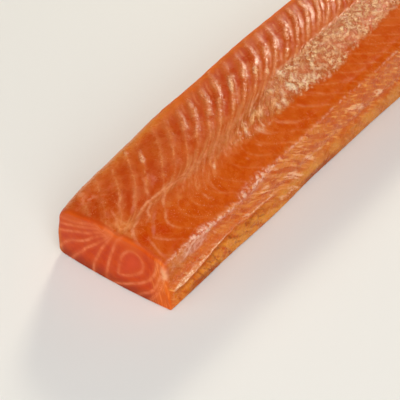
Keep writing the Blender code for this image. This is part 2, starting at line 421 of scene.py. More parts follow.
def far_to_near(x, z):
    """The far cut is like the near one, wider to the left and wandering a little."""
    left, seam, right = corners(np.array([LENGTH]))[0][[0, 3, 1], 0]
    near_left, near_seam, near_right = corners(np.array([0.0]))[0][[0, 3, 1], 0]
    nx = np.interp(x, (left, seam, right), (near_left, near_seam, near_right))
    nz = z * 32.5 / 35.7
    p = cols(x, z, 0.0)
    return nx + 1.6 * noise(p / 15.0, 41) + 0.5 * noise(p / 5.0, 42), nz + 1.4 * noise(p / 15.0, 43)


# --- the fine surface --------------------------------------------------------------------
stations = np.linspace(RIM_R + 0.55, LENGTH - RIM_R - 0.55, RINGS)
outline, marks = sections(stations)
N = outline.shape[1]


def inset(flat, amount):
    d = np.roll(flat, -1, axis=0) - np.roll(flat, 1, axis=0)
    d /= np.linalg.norm(d, axis=1, keepdims=True)
    return flat + np.stack([-d[:, 1], d[:, 0]], -1) * amount


rings_xz, rings_y, rings_v, rings_edge = [], [], [], []
first = sections(np.array([0.0]))[0][0]
last = sections(np.array([LENGTH]))[0][0]
def rim_radius(flat):
    """The cut's edge is crisp where it lies on the board and softer at the top."""
    return (0.6 + (RIM_R - 0.6) * step_up(flat[:, 1], 1.5, 14.0))[:, None]


for j in range(RIM_STEPS):
    turn = math.pi / 2.0 * j / RIM_STEPS
    r = rim_radius(first)
    p = inset(first, r * (1.0 - math.sin(turn)))
    back = r[:, 0] * (1.0 - math.cos(turn))
    rings_xz.append(p)
    rings_y.append(cut_y(p[:, 0], p[:, 1], False) + back)
    rings_v.append(back)
for i, v in enumerate(stations):
    p = outline[i]
    y = v - LENGTH / 2.0
    y = y + (1.0 - ease(v / 40.0)) * (cut_y(p[:, 0], p[:, 1], False) + LENGTH / 2.0)
    y = y + (1.0 - ease((LENGTH - v) / 40.0)) * (cut_y(p[:, 0], p[:, 1], True) - LENGTH / 2.0)
    rings_xz.append(p)
    rings_y.append(y)
    rings_v.append(np.full(N, v))
for j in range(RIM_STEPS - 1, -1, -1):
    turn = math.pi / 2.0 * j / RIM_STEPS
    r = rim_radius(last)
    p = inset(last, r * (1.0 - math.sin(turn)))
    back = r[:, 0] * (1.0 - math.cos(turn))
    rings_xz.append(p)
    rings_y.append(cut_y(p[:, 0], p[:, 1], True) - back)
    rings_v.append(LENGTH - back)
XZ = np.array(rings_xz)  # (rings, N, 2)
Y = np.array(rings_y)
V = np.array(rings_v)
R = len(XZ)
X, Z = XZ[..., 0], XZ[..., 1]

# distance round the section, from the seam: right is plus, left is minus
gap = np.hypot(np.diff(X, axis=1, append=X[:, :1]), np.diff(Z, axis=1, append=Z[:, :1]))
run = np.concatenate([np.zeros((R, 1)), np.cumsum(gap, axis=1)[:, :-1]], axis=1)
U = run[:, marks[3]][:, None] - run
U[:, : marks[0] + 1] -= (run[:, -1] + gap[:, -1])[:, None]
U_RIDGE = U[:, marks[2]][:, None] * np.ones_like(U)
U_SHOULDER = U[:, marks[4]][:, None] * np.ones_like(U)
T_SIDE = U - U_RIDGE  # down the trimmed side from the ridge
T_WALL = U_SHOULDER - U  # down the back wall from the shoulder
index = np.arange(N)
on_base = (index < marks[1]) & (index > marks[0])
ON_BASE = np.broadcast_to(on_base, U.shape).astype(float)

# normals of the smooth surface
PX = np.stack([X, Y, Z], -1)
du = np.roll(PX, -1, axis=1) - np.roll(PX, 1, axis=1)
dv = np.gradient(PX, axis=0)
NRM = np.cross(du, dv)
NRM /= np.maximum(1e-9, np.linalg.norm(NRM, axis=-1, keepdims=True))
mid = PX.mean(axis=1, keepdims=True)
if ((NRM * (PX - mid)).sum(-1) > 0).mean() < 0.5:
    NRM = -NRM

flat = lambda a: np.ascontiguousarray(a).reshape(-1)
x, y, z, v, u = map(flat, (X, Y, Z, V, U))
t_side, t_wall, base = map(flat, (T_SIDE, T_WALL, ON_BASE))
u_ridge = flat(U_RIDGE)
p3 = cols(x, y, z)
yk = v - NEAR_CUT_AT  # the sweep's own y

# the layers' lines wander a little
drift = 0.9 * fbm(p3 / 14.0, 2, 3) + 0.42 * fbm(p3 / 4.5, 2, 4)
sweep_here = yk - sweep(u, v) + drift
ph_top = layer_phase(sweep_here)


def spacing(phase, shape):
    """Millimetres between one line and the next, from how fast the phase changes on the grid."""
    g = phase.reshape(shape)
    s_u = np.gradient(g, axis=1)
    s_v = np.gradient(g, axis=0)
    step_u = np.maximum(1e-4, np.linalg.norm(np.gradient(PX, axis=1), axis=-1))
    step_v = np.maximum(1e-4, np.linalg.norm(np.gradient(PX, axis=0), axis=-1))
    return flat(1.0 / np.maximum(0.02, np.hypot(s_u / step_u, s_v / step_v)))


sp_top = spacing(ph_top, (R, N))

# trimmed side: fibres run up and away from the ridge, aslant; `fib` is measured across them, `run_on` along
grow = np.linspace(0.0, LENGTH, 961)
rate = 1.15 - 0.42 * ease((grow - 25.0) / 40.0) + 0.06 * np.sin(grow / 13.0) + 0.05 * np.sin(grow / 7.3 + 1.0)
amount = np.concatenate([[0.0], np.cumsum((rate[1:] + rate[:-1]) / 2 * np.diff(grow))])
side_warp = 1.3 * fbm(cols(y / 17.0, z / 11.0, 0 * y), 2, 11) + 0.35 * fbm(cols(y / 5.0, z / 4.0, 0 * y), 2, 12)
fib = (t_side - np.interp(v, grow, amount)) * 0.79 + side_warp - 0.9 * np.cos(t_side / 7.0)
run_on = 0.79 * v + 0.61 * t_side

# --- where things are ----------------------------------------------------------------------
cut = np.minimum(v, LENGTH - v)
high = step_up(z, 14.0, 24.0)
w_cap = 1.0 - step_up(cut + high * 0.7 * fbm(cols(u / 2.6, v / 2.6, z / 2.6), 2, 86), 0.25 - 0.15 * high, 1.3 + 1.3 * high)
edge_fade = step_up(cut, 0.1, 2.2)
side_edge = 1.1 * fbm(cols(v / 3.4, 0 * v, 0 * v), 3, 84) + 0.8 * fbm(cols(u / 3.0, v / 3.0, 0 * v), 2, 85)
soft_far = step_up(v, 66.0, 92.0)
w_side = step_up(t_side + soft_far * side_edge, -0.8 - 1.6 * soft_far, 2.0 + 1.6 * soft_far) * (1 - base)
w_wall = step_up(t_wall, -3.0, 3.5) * (1 - base)
w_base = np.where(base > 0, 1.0, 0.0)
low = step_up(z, 0.0, 1.6)  # nothing is raised where it lies on the board
far_half = step_up(v, 62.0, 120.0)

d_top = np.abs(ph_top - np.round(ph_top)) * sp_top
life = 0.5 + 0.5 * fbm(p3 / 7.0, 3, 21)  # how strong a line is here
grain = fbm(p3 / 1.5, 2, 22)
uv = cols(u, v, 0 * u)

left = step_up(-u, 0.0, 4.0) * (1 - w_wall)
right = step_up(u, 2.0, 9.0) * (1 - w_side)

# soft tissue round the seam
seam_left = np.interp(v, (0, 36, 58, 75, 110, 150, 240), (-1.4, -1.6, -3.6, -4.4, -3.0, -2.4, -2.5))
seam_right = np.interp(v, (0, 36, 58, 75, 110, 150, 240), (2.0, 2.8, 6.0, 7.0, 7.5, 7.0, 5.0))
seam_soft = np.interp(v, (0, 36, 58, 240), (0.8, 1.0, 1.8, 2.2))
seam_wave = 0.7 * fbm(cols(v / 6.0, 0 * v, 0 * v), 2, 77)
seam_band = step_up(u - seam_wave, seam_left - seam_soft, seam_left + seam_soft) * (
    1 - step_up(u - seam_wave, seam_right - seam_soft, seam_right + 1.6 * seam_soft)
)
seam_band = seam_band * np.interp(v, (0, 12, 16, 28, 34), (1.0, 1.0, 0.6, 0.6, 1.0))
beside = step_up(u, 4.0, 7.0) * (1 - step_up(u + 1.5 * seam_wave, 10.0, 14.5)) * np.interp(v, (30, 42, 92, 104), (0.0, 1.0, 1.0, 0.0))
# hazy, paler edge of the left, by the shoulder, and at the narrow end
haze = step_up(-u + 2.5 * fbm(uv / 9.0, 2, 36), 24.5, 30.0) * step_up(v, 2.0, 12.0)
soft_near = (1 - step_up(v, 14.0, 30.0)) * step_up(-u, 14.0, 22.0)
soft_mid = blobs(u, v, [(-21.0, 50.5, 9.0, 5.0, -30, 0.55), (-28.5, 39.0, 5.0, 6.0, 0, 0.7), (-27.0, 14.0, 5.0, 8.0, 0, 0.6)])
cloud = step_up(fbm(uv / 7.0, 3, 37), -0.10, 0.35)
edge_line = 1.0 - 0.8 * step_up(-u, 23.5, 29.0) * step_up(v, 52.0, 70.0)
haze = np.maximum(np.maximum(haze * (0.55 + 0.45 * cloud), soft_near * cloud), soft_mid * (0.5 + 0.5 * cloud))

# the seam's cords and a few single lines of fat, in (u, v)
STROKES = [
    (0.55, 1.0, [(0.2, 41.0), (-0.4, 36.0), (-0.2, 31.0), (-0.6, 27.0), (-0.9, 22.0), (-0.2, 18.0), (0.6, 14.5), (1.6, 11.8), (3.4, 11.4)]),
    (0.60, 1.0, [(2.6, 44.0), (1.2, 38.0), (0.4, 34.0), (1.4, 30.5), (3.2, 27.8), (5.4, 25.2), (6.6, 23.8)]),
    (0.55, 0.9, [(-1.6, 24.6), (0.4, 22.6), (1.4, 20.4), (2.8, 17.8), (4.6, 16.2), (6.0, 14.0), (6.6, 11.0)]),
    (0.70, 1.1, [(2.6, 12.4), (3.2, 9.4), (4.2, 6.4), (6.4, 3.6), (9.4, 1.4), (12.6, 0.2), (14.0, -0.4)]),
    (0.45, 0.7, [(4.4, 6.0), (6.0, 4.0), (7.4, 1.6)]),
    (0.55, 0.75, [(-13.0, 32.2), (-9.0, 30.0), (-6.5, 27.6), (-4.2, 26.0), (-1.8, 24.6)]),
    (0.60, 0.6, [(-12.5, 26.2), (-8.2, 22.4), (-5.2, 18.4), (-3.2, 15.8), (-2.2, 12.6)]),
    (0.55, 0.6, [(-13.5, 19.4), (-10.6, 16.2), (-9.0, 13.6), (-6.8, 11.4), (-5.4, 8.8)]),
    (0.60, 0.6, [(-11.0, 9.4), (-7.4, 8.2), (-4.8, 6.8), (-3.0, 5.2), (-4.6, 2.6)]),
    (0.50, 0.6, [(8.4, 24.0), (9.6, 21.4), (11.2, 18.8), (13.4, 17.6), (15.6, 17.9), (17.4, 19.0)]),
    (0.50, 0.45, [(12.6, 7.6), (14.4, 8.0), (16.6, 9.6), (19.0, 11.6), (21.4, 13.0)]),
    (0.50, 0.45, [(11.2, 5.8), (15.0, 5.0), (19.0, 3.8), (22.0, 3.0)]),
    (0.55, 0.5, [(3.0, 50.0), (1.4, 45.0), (0.4, 41.0)]),
    (0.60, 0.6, [(1.0, 70.0), (2.0, 66.0), (4.0, 62.0), (5.6, 58.5), (7.0, 55.0)]),
    (0.60, 0.6, [(0.2, 63.0), (1.6, 58.0), (2.6, 53.0), (4.2, 49.0), (6.4, 45.8)]),
    (0.60, 0.5, [(-0.4, 57.0), (0.6, 51.0), (2.0, 46.4), (3.2, 42.6), (5.4, 38.8), (7.0, 36.6)]),
    (0.55, 0.5, [(13.6, 40.8), (15.6, 41.2), (17.4, 41.6), (18.8, 43.0)]),
    (0.50, 0.35, [(8.0, 53.0), (11.0, 49.6), (14.0, 47.4), (17.6, 47.2), (21.0, 48.4), (24.0, 49.2)]),
    (0.60, 0.7, [(7.4, 58.0), (8.8, 56.2), (10.6, 54.8)]),
    (0.60, 0.6, [(7.4, 73.4), (9.2, 72.4), (10.8, 71.4)]),
    (0.55, 0.55, [(6.8, 66.4), (8.8, 64.6), (10.8, 63.2)]),
    (0.55, 0.5, [(7.6, 69.6), (9.4, 67.8), (11.4, 66.2)]),
    (0.50, 0.45, [(17.2, 69.4), (18.6, 70.6)]),
    (0.55, 0.5, [(15.6, 78.6), (17.4, 79.2), (18.8, 80.6)]),
    (0.60, 0.55, [(14.2, 96.4), (16.6, 95.8), (19.6, 98.2), (22.6, 101.2), (25.4, 104.4)]),
    (0.55, 0.5, [(9.4, 88.0), (12.0, 85.4), (15.0, 86.2), (17.4, 87.6), (19.4, 90.2)]),
    (0.55, 0.4, [(17.4, 110.0), (20.4, 111.8), (23.6, 114.8), (26.0, 117.4)]),
    (0.55, 0.4, [(18.4, 121.0), (21.6, 123.0), (25.0, 126.4)]),
]
cord, cord_w = from_strokes(u + 0.25 * noise(uv[:, [0, 1, 2]] / 2.6, 81), v + 0.25 * noise(uv / 2.6, 82), STROKES)
cord_w = cord_w * (1 - w_side)
# mauve, clear smears on the right
MAUVE = [(11.2, 10.4, 3.4, 0.9, -50, 1.0), (6.6, 17.0, 4.5, 1.2, -62, 0.7), (-7.5, 34.0, 3.0, 1.6, -20, 0.8), (-2.6, 14.4, 3.0, 1.0, -60, 0.7),
    (-6.0, 31.5, 3.0, 1.2, -50, 0.6), (2.4, 12.6, 1.6, 1.2, 0, 0.5), (21.5, 3.6, 3.0, 1.2, -10, 0.6), (-9.0, 6.4, 4.0, 1.6, -20, 0.5)]
mauve = blobs(u, v, MAUVE)
DEEP = [(-10.0, 29.0, 9.0, 5.0, 20, 0.35), (-4.0, 20.0, 8.0, 6.0, 0, 0.30), (21.0, 11.0, 4.0, 7.0, 0, 0.35), (14.0, 13.5, 4.0, 3.0, 30, 0.9), (11.5, 5.0, 3.6, 2.4, -30, 1.0), (12.5, 22.5, 4.0, 3.0, 0, 0.6), (9.0, 80.0, 5.0, 3.0, 60, 0.0)]
deep = blobs(u, v, DEEP)
ochre_spots = blobs(u, v, [(7.4, 26.0, 2.6, 1.8, -40, 0.7), (6.6, 14.0, 2.2, 1.6, -60, 0.5), (0.8, 6.4, 4.4, 3.0, 90, 0.9), (-3.0, 3.0, 3.6, 2.2, 20, 0.7),
    (5.0, 2.4, 3.0, 1.6, -40, 0.6), (8.0, 33.0, 3.0, 2.0, -50, 0.6)])

# bright, wet streaks on the left layers: painted highlights where the fat lines glint; the same spots also raise and
# widen the lines there
LEFT_GLINTS = [
    (-14.0, 112.5, 4.0, 1.4, -48, 0.6), (-14.0, 101.5, 6.0, 1.4, -50, 1.15), (-17.5, 96.5, 4.0, 1.3, -56, 0.5),
    (-13.0, 91.0, 4.0, 1.1, -55, 0.35), (-18.5, 87.0, 3.5, 1.2, -45, 0.45), (-22.5, 80.0, 4.0, 1.2, -38, 0.5),
    (-12.5, 79.0, 3.5, 1.3, -48, 0.45), (-24.8, 65.8, 2.0, 1.2, -45, 0.7), (-17.0, 65.6, 4.5, 1.3, -40, 0.55),
    (-11.0, 69.0, 3.0, 1.1, -50, 0.5), (-19.5, 40.3, 3.6, 1.5, -35, 1.0), (-28.4, 39.0, 1.8, 1.2, -40, 0.7),
    (-10.0, 117.0, 4.0, 2.0, -45, 1.1), (-4.5, 120.8, 3.2, 1.8, -45, 1.2), (-23.4, 43.8, 2.0, 0.9, -45, 0.6),
    (-13.5, 53.5, 3.0, 1.1, -40, 0.45), (-9.5, 32.6, 3.0, 0.9, -45, 0.4),
]
glint_spots = blobs(u, v, LEFT_GLINTS)
glint_spots = np.maximum(glint_spots, 0.55 * step_up(v, 112, 126) * (1 - step_up(v, 225, 238)) * step_up(fbm(uv / 8.0, 2, 38), 0.05, 0.4)
                   * step_up(-u, 4.0, 8.0) * (1 - step_up(-u, 19.0, 25.0)))
line = (0.30 + 0.55 * step_up(fbm(uv / 7.0, 3, 39), -0.30, 0.35)) * (1.0 - 0.65 * haze) * (0.80 + 0.30 * far_half) * edge_line
RIGHT_LINES = [
    (15.5, 18.4, 3.6, 1.0, 8, 0.9), (10.0, 21.5, 4.0, 1.2, -48, 0.7), (17.0, 42.0, 3.6, 1.4, 22, 0.8),
    (22.0, 44.5, 2.4, 1.2, 15, 0.6), (17.5, 55.0, 3.0, 1.2, 25, 0.5), (16.0, 87.5, 3.4, 1.4, 25, 0.9),
    (17.5, 96.0, 3.4, 1.2, 20, 0.6), (18.0, 72.0, 3.0, 1.2, 20, 0.4), (19.0, 80.0, 2.6, 1.2, 30, 0.5),
]
line = line * (1.0 - (0.32 + 0.33 * step_up(-u, 15.0, 19.0)) * step_up(-u, 3.0, 6.0) * step_up(v, 100.0, 108.0) * (1 - step_up(v, 150.0, 160.0)))
line = line + 0.6 * blobs(u, v, RIGHT_LINES)

# wrinkled, wet membrane right of the seam on the thick half
wr_left = np.interp(v, (60, 100, 118, 135, 240), (5.0, 3.0, -1.0, -1.0, 0.0))
wr_right = np.interp(v, (60, 76, 82, 90, 100, 110, 120, 130, 140, 170, 240), (9.0, 12.5, 15.0, 16.2, 16.5, 16.5, 17.5, 20.6, 22.0, 19.5, 17.0))
wr_right = wr_right + 1.4 * fbm(cols(v / 4.0, 0 * v, 0 * v), 2, 32) + 1.3 * fbm(uv / 2.8, 2, 87)
wrinkle = (
    step_up(u, wr_left - 1.5, wr_left + 2.5)
    * (1 - step_up(u, wr_right - 3.0, wr_right + 1.4))
    * np.interp(v, (40, 50, 62, 76, 84, 95, 104, 215, 238), (0.0, 0.22, 0.28, 0.5, 0.8, 0.85, 1.0, 0.9, 0.0))
    * (0.5 + 0.5 * step_up(fbm(uv / 9.0, 2, 31), -0.3, 0.2))
)
# cream spots: painted highlights on the wet membrane, also raised a little
CREAM_GLINTS = [
    (11.0, 118.0, 4.2, 2.2, -12, 1.1), (1.0, 123.5, 3.2, 1.7, -20, 1.0), (8.0, 124.5, 3.0, 2.0, -40, 0.8),
    (13.5, 125.0, 2.6, 1.8, -60, 0.8), (13.0, 108.0, 2.8, 1.6, -40, 0.7), (12.0, 104.0, 2.5, 1.2, -20, 0.7),
    (9.5, 112.0, 2.6, 1.4, -50, 0.6), (16.0, 131.0, 3.0, 2.0, -60, 0.8), (13.5, 86.6, 2.8, 1.8, 20, 0.5),
    (8.8, 81.3, 2.6, 0.8, -47, 0.8), (12.5, 90.0, 2.5, 1.2, -35, 0.45), (9.2, 55.8, 2.0, 0.6, -45, 0.6),
    (8.0, 95.0, 3.0, 1.0, -55, 0.4), (4.0, 110.5, 2.6, 2.0, -20, 0.45), (20.0, 137.0, 2.2, 1.6, -60, 0.6),
]
# spots of painted wet sparkle on the top
SPARKLE_DOTS = [(16.0, 28.5, 6.0, 3.4, 80, 1.0), (12.0, 38.0, 4.0, 3.0, 60, 0.6), (22.0, 43.0, 5.0, 2.0, 30, 0.6),
    (-24.0, 70.0, 6.0, 4.0, 60, 0.7), (-22.0, 92.0, 6.0, 4.0, 60, 0.6), (5.0, 60.0, 10.0, 3.0, 100, 0.5), (-10.0, 76.0, 9.0, 4.0, -50, 0.4)]
sparkle_dots = blobs(u, v, SPARKLE_DOTS)
cream_glints = blobs(u, v, CREAM_GLINTS)
cream_glints = np.maximum(cream_glints, 0.70 * wrinkle * step_up(v, 116, 132) * step_up(fbm(uv / 5.0, 2, 40), -0.05, 0.35))

# ribbed fat along the ridge: a pale rope with beads, and clear tissue below it at the narrow end
rope_t = np.interp(v, (0, 6, 14, 22, 30, 40, 48, 60, 75, 100, 120, 240), (0.4, 0.6, 1.1, 0.9, 1.8, 2.2, 2.4, 1.6, 1.4, 1.0, 0.8, 0.6)) + 0.30 * wobble(v, 8.0)
rope_half = np.interp(v, (0, 8, 18, 30, 40, 48, 58, 66, 76, 95, 240), (0.9, 1.0, 1.1, 1.6, 1.3, 1.6, 2.2, 2.1, 1.2, 0.9, 0.8))
rope_half = rope_half * np.interp(v, (18, 26, 72, 84), (1.0, 1.30, 1.25, 1.0))
rope_half = rope_half * (1.0 + 0.35 * noise(cols(v / 3.1, 0 * v, 0 * v), 9))
rope_amount = np.interp(
    v, (0, 4, 16, 22, 31, 34, 37, 41, 47, 50, 54, 60, 68, 74, 80, 92, 240),
    (0.4, 0.55, 0.62, 0.98, 1.05, 0.70, 0.62, 0.78, 0.62, 0.40, 0.80, 0.85, 0.85, 0.68, 0.62, 0.46, 0.36)
)
rope = bell(t_side - rope_t, rope_half) * rope_amount
rope = rope * (np.interp(v, (34, 48), (0.75, 0.40)) + np.interp(v, (34, 48), (0.35, 0.65)) * step_up(noise(cols(v / 2.3, t_side / 3.0, 0 * v), 33) + 0.5 * noise(cols(v / 8.0, 0 * v, 0 * v), 34), -0.45, 0.15))
clear = (
    step_up(t_side, 0.5, 2.5) * (1 - step_up(t_side + 1.5 * fbm(uv / 5.0, 2, 43), 6.0, 9.5))
    * step_up(v, 1.0, 5.0) * (0.25 + 0.75 * step_up(v, 9.0, 16.0)) * (1 - step_up(v, 24.0, 31.0))
)
clear = np.maximum(clear, 0.28 * step_up(t_side, 0.5, 2.5) * (1 - step_up(t_side, 3.5, 6.5)) * step_up(v, 50.0, 55.0) * (1 - step_up(v, 66.0, 76.0)))

# the fold along the trimmed side near the narrow end, and the torn foot below it
lip_t = np.interp(v, (0, 5, 13, 19, 27, 35, 42, 50, 60, 72, 80, 100, 240), (18.4, 19.4, 20.4, 19.9, 19.0, 17.3, 16.2, 15.8, 17.6, 18.2, 20.0, 23.5, 26.0))
lip_t = lip_t + 0.20 * wobble(v, 7.0) + 0.30 * noise(cols(v / 2.6, 0 * v, 0 * v), 83)
fold = np.interp(v, (2, 6, 38, 47, 57, 62, 72, 82), (0.0, 1.0, 1.0, 0.30, 0.35, 0.7, 0.6, 0.0)) * w_side
above = lip_t - t_side  # how far above the lip
lip_half = np.interp(v, (0, 4, 8, 11, 14, 16, 19, 22, 25, 28, 34, 43, 57, 64, 74, 240), (0.4, 0.7, 1.5, 2.0, 1.3, 1.7, 2.2, 1.5, 0.8, 0.75, 0.8, 0.7, 0.5, 0.9, 0.6, 0.5))
lip_half = lip_half * (1.0 + 0.35 * noise(cols(v / 1.7, 0 * v, 0 * v), 44))
# painted highlight along the fold's lip, with its barbs, and painted shade just under the lip
lip_highlight = fold * bell(above - 0.5 - 0.5 * lip_half, lip_half) * (0.55 + 0.45 * step_up(noise(cols(v / 3.0, above / 3.0, 0 * v), 45), -0.4, 0.2))
barbs = fold * step_up(above, 0.3, 1.5) * (1 - step_up(above, 3.0, 6.5)) * (1 - step_up(v, 32.0, 44.0))
under_lip_shade = fold * step_up(-above, 0.3, 1.0) * (1 - step_up(-above, 1.6, 3.4))
foot = step_up(-above, 0.4, 2.0) * step_up(v, 1.5, 6.0) * (1 - step_up(v, 62.0, 84.0)) * w_side * (1 - base)
t_end = np.interp(v, (5, 30, 60, 90, 120, 140), (27.7, 28.9, 29.2, 30.3, 31.2, 31.8))
hem = t_end - t_side  # how far above the board, along the side
# ochre band low on the side: partly its own tone, partly painted warm reflected light from below
ochre = w_side * (1 - step_up(hem + 2.0 * fbm(uv / 8.0, 2, 46), 6.5, 11.0)) * step_up(v, 36.0, 52.0)
shade = (
    w_side * (1 - step_up(hem, 1.5, 4.5))
    * np.maximum(np.interp(v, (96, 103, 118, 132), (0.0, 1.0, 0.9, 0.2)), np.interp(v, (8, 16, 34, 40), (0.0, 0.8, 0.8, 0.0)))
)
shade = np.maximum(shade, w_side * (1 - step_up(hem, 0.8, 3.5)) * step_up(noise(cols(v / 8.0, 0 * v, 0 * v), 47), 0.0, 0.4) * step_up(v, 110, 140))
# pale streaks on the trimmed side: partly pale fibres, partly painted highlights; they are raised a little too
SIDE_GLINTS = [
    (18.2, 90.5, 6.5, 2.2, 56, 0.9), (18.0, 105.0, 5.5, 1.6, 43, 1.0), (10.5, 138.0, 5.0, 1.8, 60, 1.1), (25.6, 88.0, 8.0, 2.4, 76, 0.6),
    (13.8, 144.5, 7.0, 1.6, 58, 0.7), (9.6, 70.0, 5.5, 1.8, 55, 0.75), (15.2, 57.0, 4.0, 1.1, 50, 0.6),
    (17.5, 75.0, 4.0, 1.4, 60, 0.6), (21.0, 96.0, 5.0, 1.6, 55, 0.5), (7.0, 34.8, 2.6, 0.7, 42, 0.9),
    (6.0, 79.0, 3.0, 0.8, 52, 0.5), (12.0, 88.0, 4.0, 1.0, 54, 0.5), (19.0, 113.0, 4.0, 1.2, 45, 0.5),
    (16.0, 162.0, 6.0, 1.8, 55, 0.7), (9.0, 176.0, 5.0, 1.4, 52, 0.5), (20.0, 187.0, 6.0, 1.8, 56, 0.6),
    (13.0, 201.0, 6.0, 1.6, 54, 0.6), (7.0, 214.0, 4.0, 1.2, 52, 0.5), (19.0, 222.0, 5.0, 1.6, 56, 0.6),
]
side_glint_streaks = blobs(t_side, v, SIDE_GLINTS) * w_side
beads = w_side * step_up(noise(cols(fib / 1.1, run_on / 4.2, 0 * v), 48), 0.20, 0.45)

# --- relief, along the normal ---------------------------------------------------------------
rise = 0.30 * fbm(p3 / 15.0, 2, 51) + 0.10 * fbm(p3 / 5.0, 2, 52)
# layers on the top: low ribs, stronger on the thick half of the left
rib_line = bell(d_top, 0.75)
rise += left * rib_line * (0.09 + 0.03 * far_half + 0.10 * glint_spots) * (0.35 + 1.1 * life) * (1.0 + 0.8 * grain)
rise -= left * (0.5 - 0.5 * np.cos(2 * math.pi * ph_top)) * (0.08 + 0.08 * far_half)
rise += right * rib_line * 0.06 * (0.3 + life)
rise += seam_band * bell(d_top, 0.5) * 0.20 * (1 - w_side)
rise += w_wall * rib_line * 0.06
# fine cords along the seam
cords = ridged(cols(u / 1.5 + 0.6 * noise(cols(v / 9.0, u / 6.0, 0 * u), 53), v / 22.0, 0 * u), 2, 54)
rise += seam_band * 0.05 * cords * (1 - w_side)
bone = ridged(cols(ph_top * 2.7, u / 7.0, v / 40.0), 2, 76)
rise += seam_band * 0.16 * bone * (1 - w_side)
# wrinkles
across_w = (v + 1.15 * u) / 1.52
along_w = (u - 0.85 * v) / 1.31
warp_w = 0.9 * noise(p3 / 4.0, 55)
curl = ridged(cols(across_w / 3.0 + warp_w, along_w / 6.5, z / 30.0), 2, 57)
curl2 = ridged(p3 / 3.4 + 0.4 * cols(noise(p3 / 2.0, 59), noise(p3 / 2.0, 60), 0 * u), 2, 58)
crumple = (1 - step_up(v, 95.0, 118.0)) * curl + step_up(v, 95.0, 118.0) * (0.45 * curl + 0.65 * curl2)
crest = np.where(w_side > 0.5, 0.0, crumple)
rise += wrinkle * (0.34 * crumple + 0.06 * fbm(p3 / 1.1, 2, 69))
rise += 0.10 * cord_w * bell(cord, 1.3) + 0.06 * beside * bone
rise += 0.15 * cream_glints
# ridge
rise += rope * (0.24 + 0.20 * noise(cols(v / 2.6, t_side / 2.4, 0 * v), 61)) + clear * 0.12 * fbm(p3 / 2.4, 2, 62)
rise -= 0.16 * bell(t_side - rope_t + 2.2, 1.0) * rope_amount
# side: fibres, the fold, the foot
fibre = fbm(cols(fib / 2.2, run_on / 13.0, 0 * v), 2, 63)
broad = fbm(cols(fib / 4.5, run_on / 14.0, 0 * v), 2, 73)
rise += w_side * (0.17 * fibre * (1 - 0.6 * clear) + 0.34 * broad) + 0.20 * side_glint_streaks + 0.08 * beads
rise += fold * 0.62 * np.exp(-np.maximum(above, 0) / 3.5) * step_up(above, -1.0, 0.6)
rise -= fold * 0.45 * np.exp(-np.maximum(-above, 0) / 4.0) * (1 - step_up(above, -1.0, 0.6))
torn = ridged(cols(fib / 2.0, run_on / 3.6, x / 3.0) + 0.35 * cols(noise(p3 / 1.9, 65), noise(p3 / 1.9, 66), 0 * u), 2, 64)
crest = np.where(w_side > 0.5, torn, crest)
rise += foot * (0.34 * torn - 0.15 * step_up(hem, 0.5, 3.0)) + ochre * (1 - foot) * 0.12 * fbm(cols(fib / 1.6, run_on / 5.0, 0 * v), 2, 74)
rise -= 0.20 * shade * (0.6 + 0.4 * noise(cols(v / 3.0, 0 * v, 0 * v), 75))
rise *= edge_fade * (1 - w_base)
# a slightly torn, softened rim at the cuts
rise += 0.22 * fbm(p3 / 2.4, 2, 67) * bell(cut - 1.6, 1.6) * (1 - w_base) * edge_fade
rise *= low

P = PX.reshape(-1, 3) + NRM.reshape(-1, 3) * rise[:, None]

# --- caps --------------------------------------------------------------------------------------
faces = []
grid = np.arange(R * N).reshape(R, N)
quads = []
for r in range(R - 1):
    a = grid[r]
    b = grid[r + 1]
    quads.append(np.stack([a, np.roll(a, -1), np.roll(b, -1), b], -1))
quads = np.concatenate(quads)


def cap_net(ring_index, far):
    """Points and triangles that fill a cut inside its rim ring."""
    rim = grid[ring_index]
    flat_rim = PX[ring_index][:, [0, 2]]
    lo, hi = flat_rim.min(0), flat_rim.max(0)
    pts = []
    row = 0
    zz = lo[1] + CAP_STEP * 0.5
    while zz < hi[1]:
        xx = np.arange(lo[0] + (CAP_STEP * 0.5 if row % 2 else 0.0), hi[0], CAP_STEP)
        pts.append(np.stack([xx, np.full_like(xx, zz)], -1))
        zz += CAP_STEP * 0.87
        row += 1
    q = np.concatenate(pts)
    dist, inside = to_curve(q, flat_rim)
    q = q[inside & (dist > CAP_STEP * 0.5)]
    allp = [Vector(p) for p in flat_rim] + [Vector(p) for p in q]
    n = len(flat_rim)
    co, _, tris, origin, _, _ = delaunay_2d_cdt(allp, [(i, (i + 1) % n) for i in range(n)], [], 1, 1e-7)
    return rim, np.array([tuple(c) for c in co]), tris, origin


verts = [P]
surface = {
    "u": u, "v": v, "t_side": t_side, "ph_top": ph_top, "sp_top": sp_top, "fib": fib, "run_on": run_on,
    "w_cap": w_cap, "w_side": w_side, "w_wall": w_wall, "w_base": w_base, "seam": seam_band, "haze": haze,
    "glint_spots": glint_spots, "line": line, "wrinkle": wrinkle, "cream_glints": cream_glints, "rope": rope, "clear": clear, "lip_highlight": lip_highlight, "barbs": barbs,
    "under_lip_shade": under_lip_shade, "foot": foot, "ochre": ochre, "shade": shade, "pale": side_glint_streaks, "beads": beads, "rise": rise,
    "z": z, "sx": x, "crest": crest, "sparkle_dots": sparkle_dots, "cord": cord, "cord_w": cord_w, "mauve": mauve, "deep": deep,
    "ochre_spots": ochre_spots, "beside": beside, "t_wall": t_wall,
}
attributes = {name: [values] for name, values in surface.items()}
ph_cut, sp_cut = np.zeros_like(v), np.full_like(v, 8.0)
near_rim, far_rim = v < 3.0, v > LENGTH - 3.0
ph_cut[near_rim], sp_cut[near_rim] = cut_phase(x[near_rim], z[near_rim])
ph_cut[far_rim], sp_cut[far_rim] = cut_phase(*far_to_near(x[far_rim], z[far_rim]))
sx = x.copy()
sx[far_rim] = far_to_near(x[far_rim], z[far_rim])[0]
attributes["sx"] = [sx]
attributes["ph_cut"] = [ph_cut]
attributes["sp_cut"] = [sp_cut]

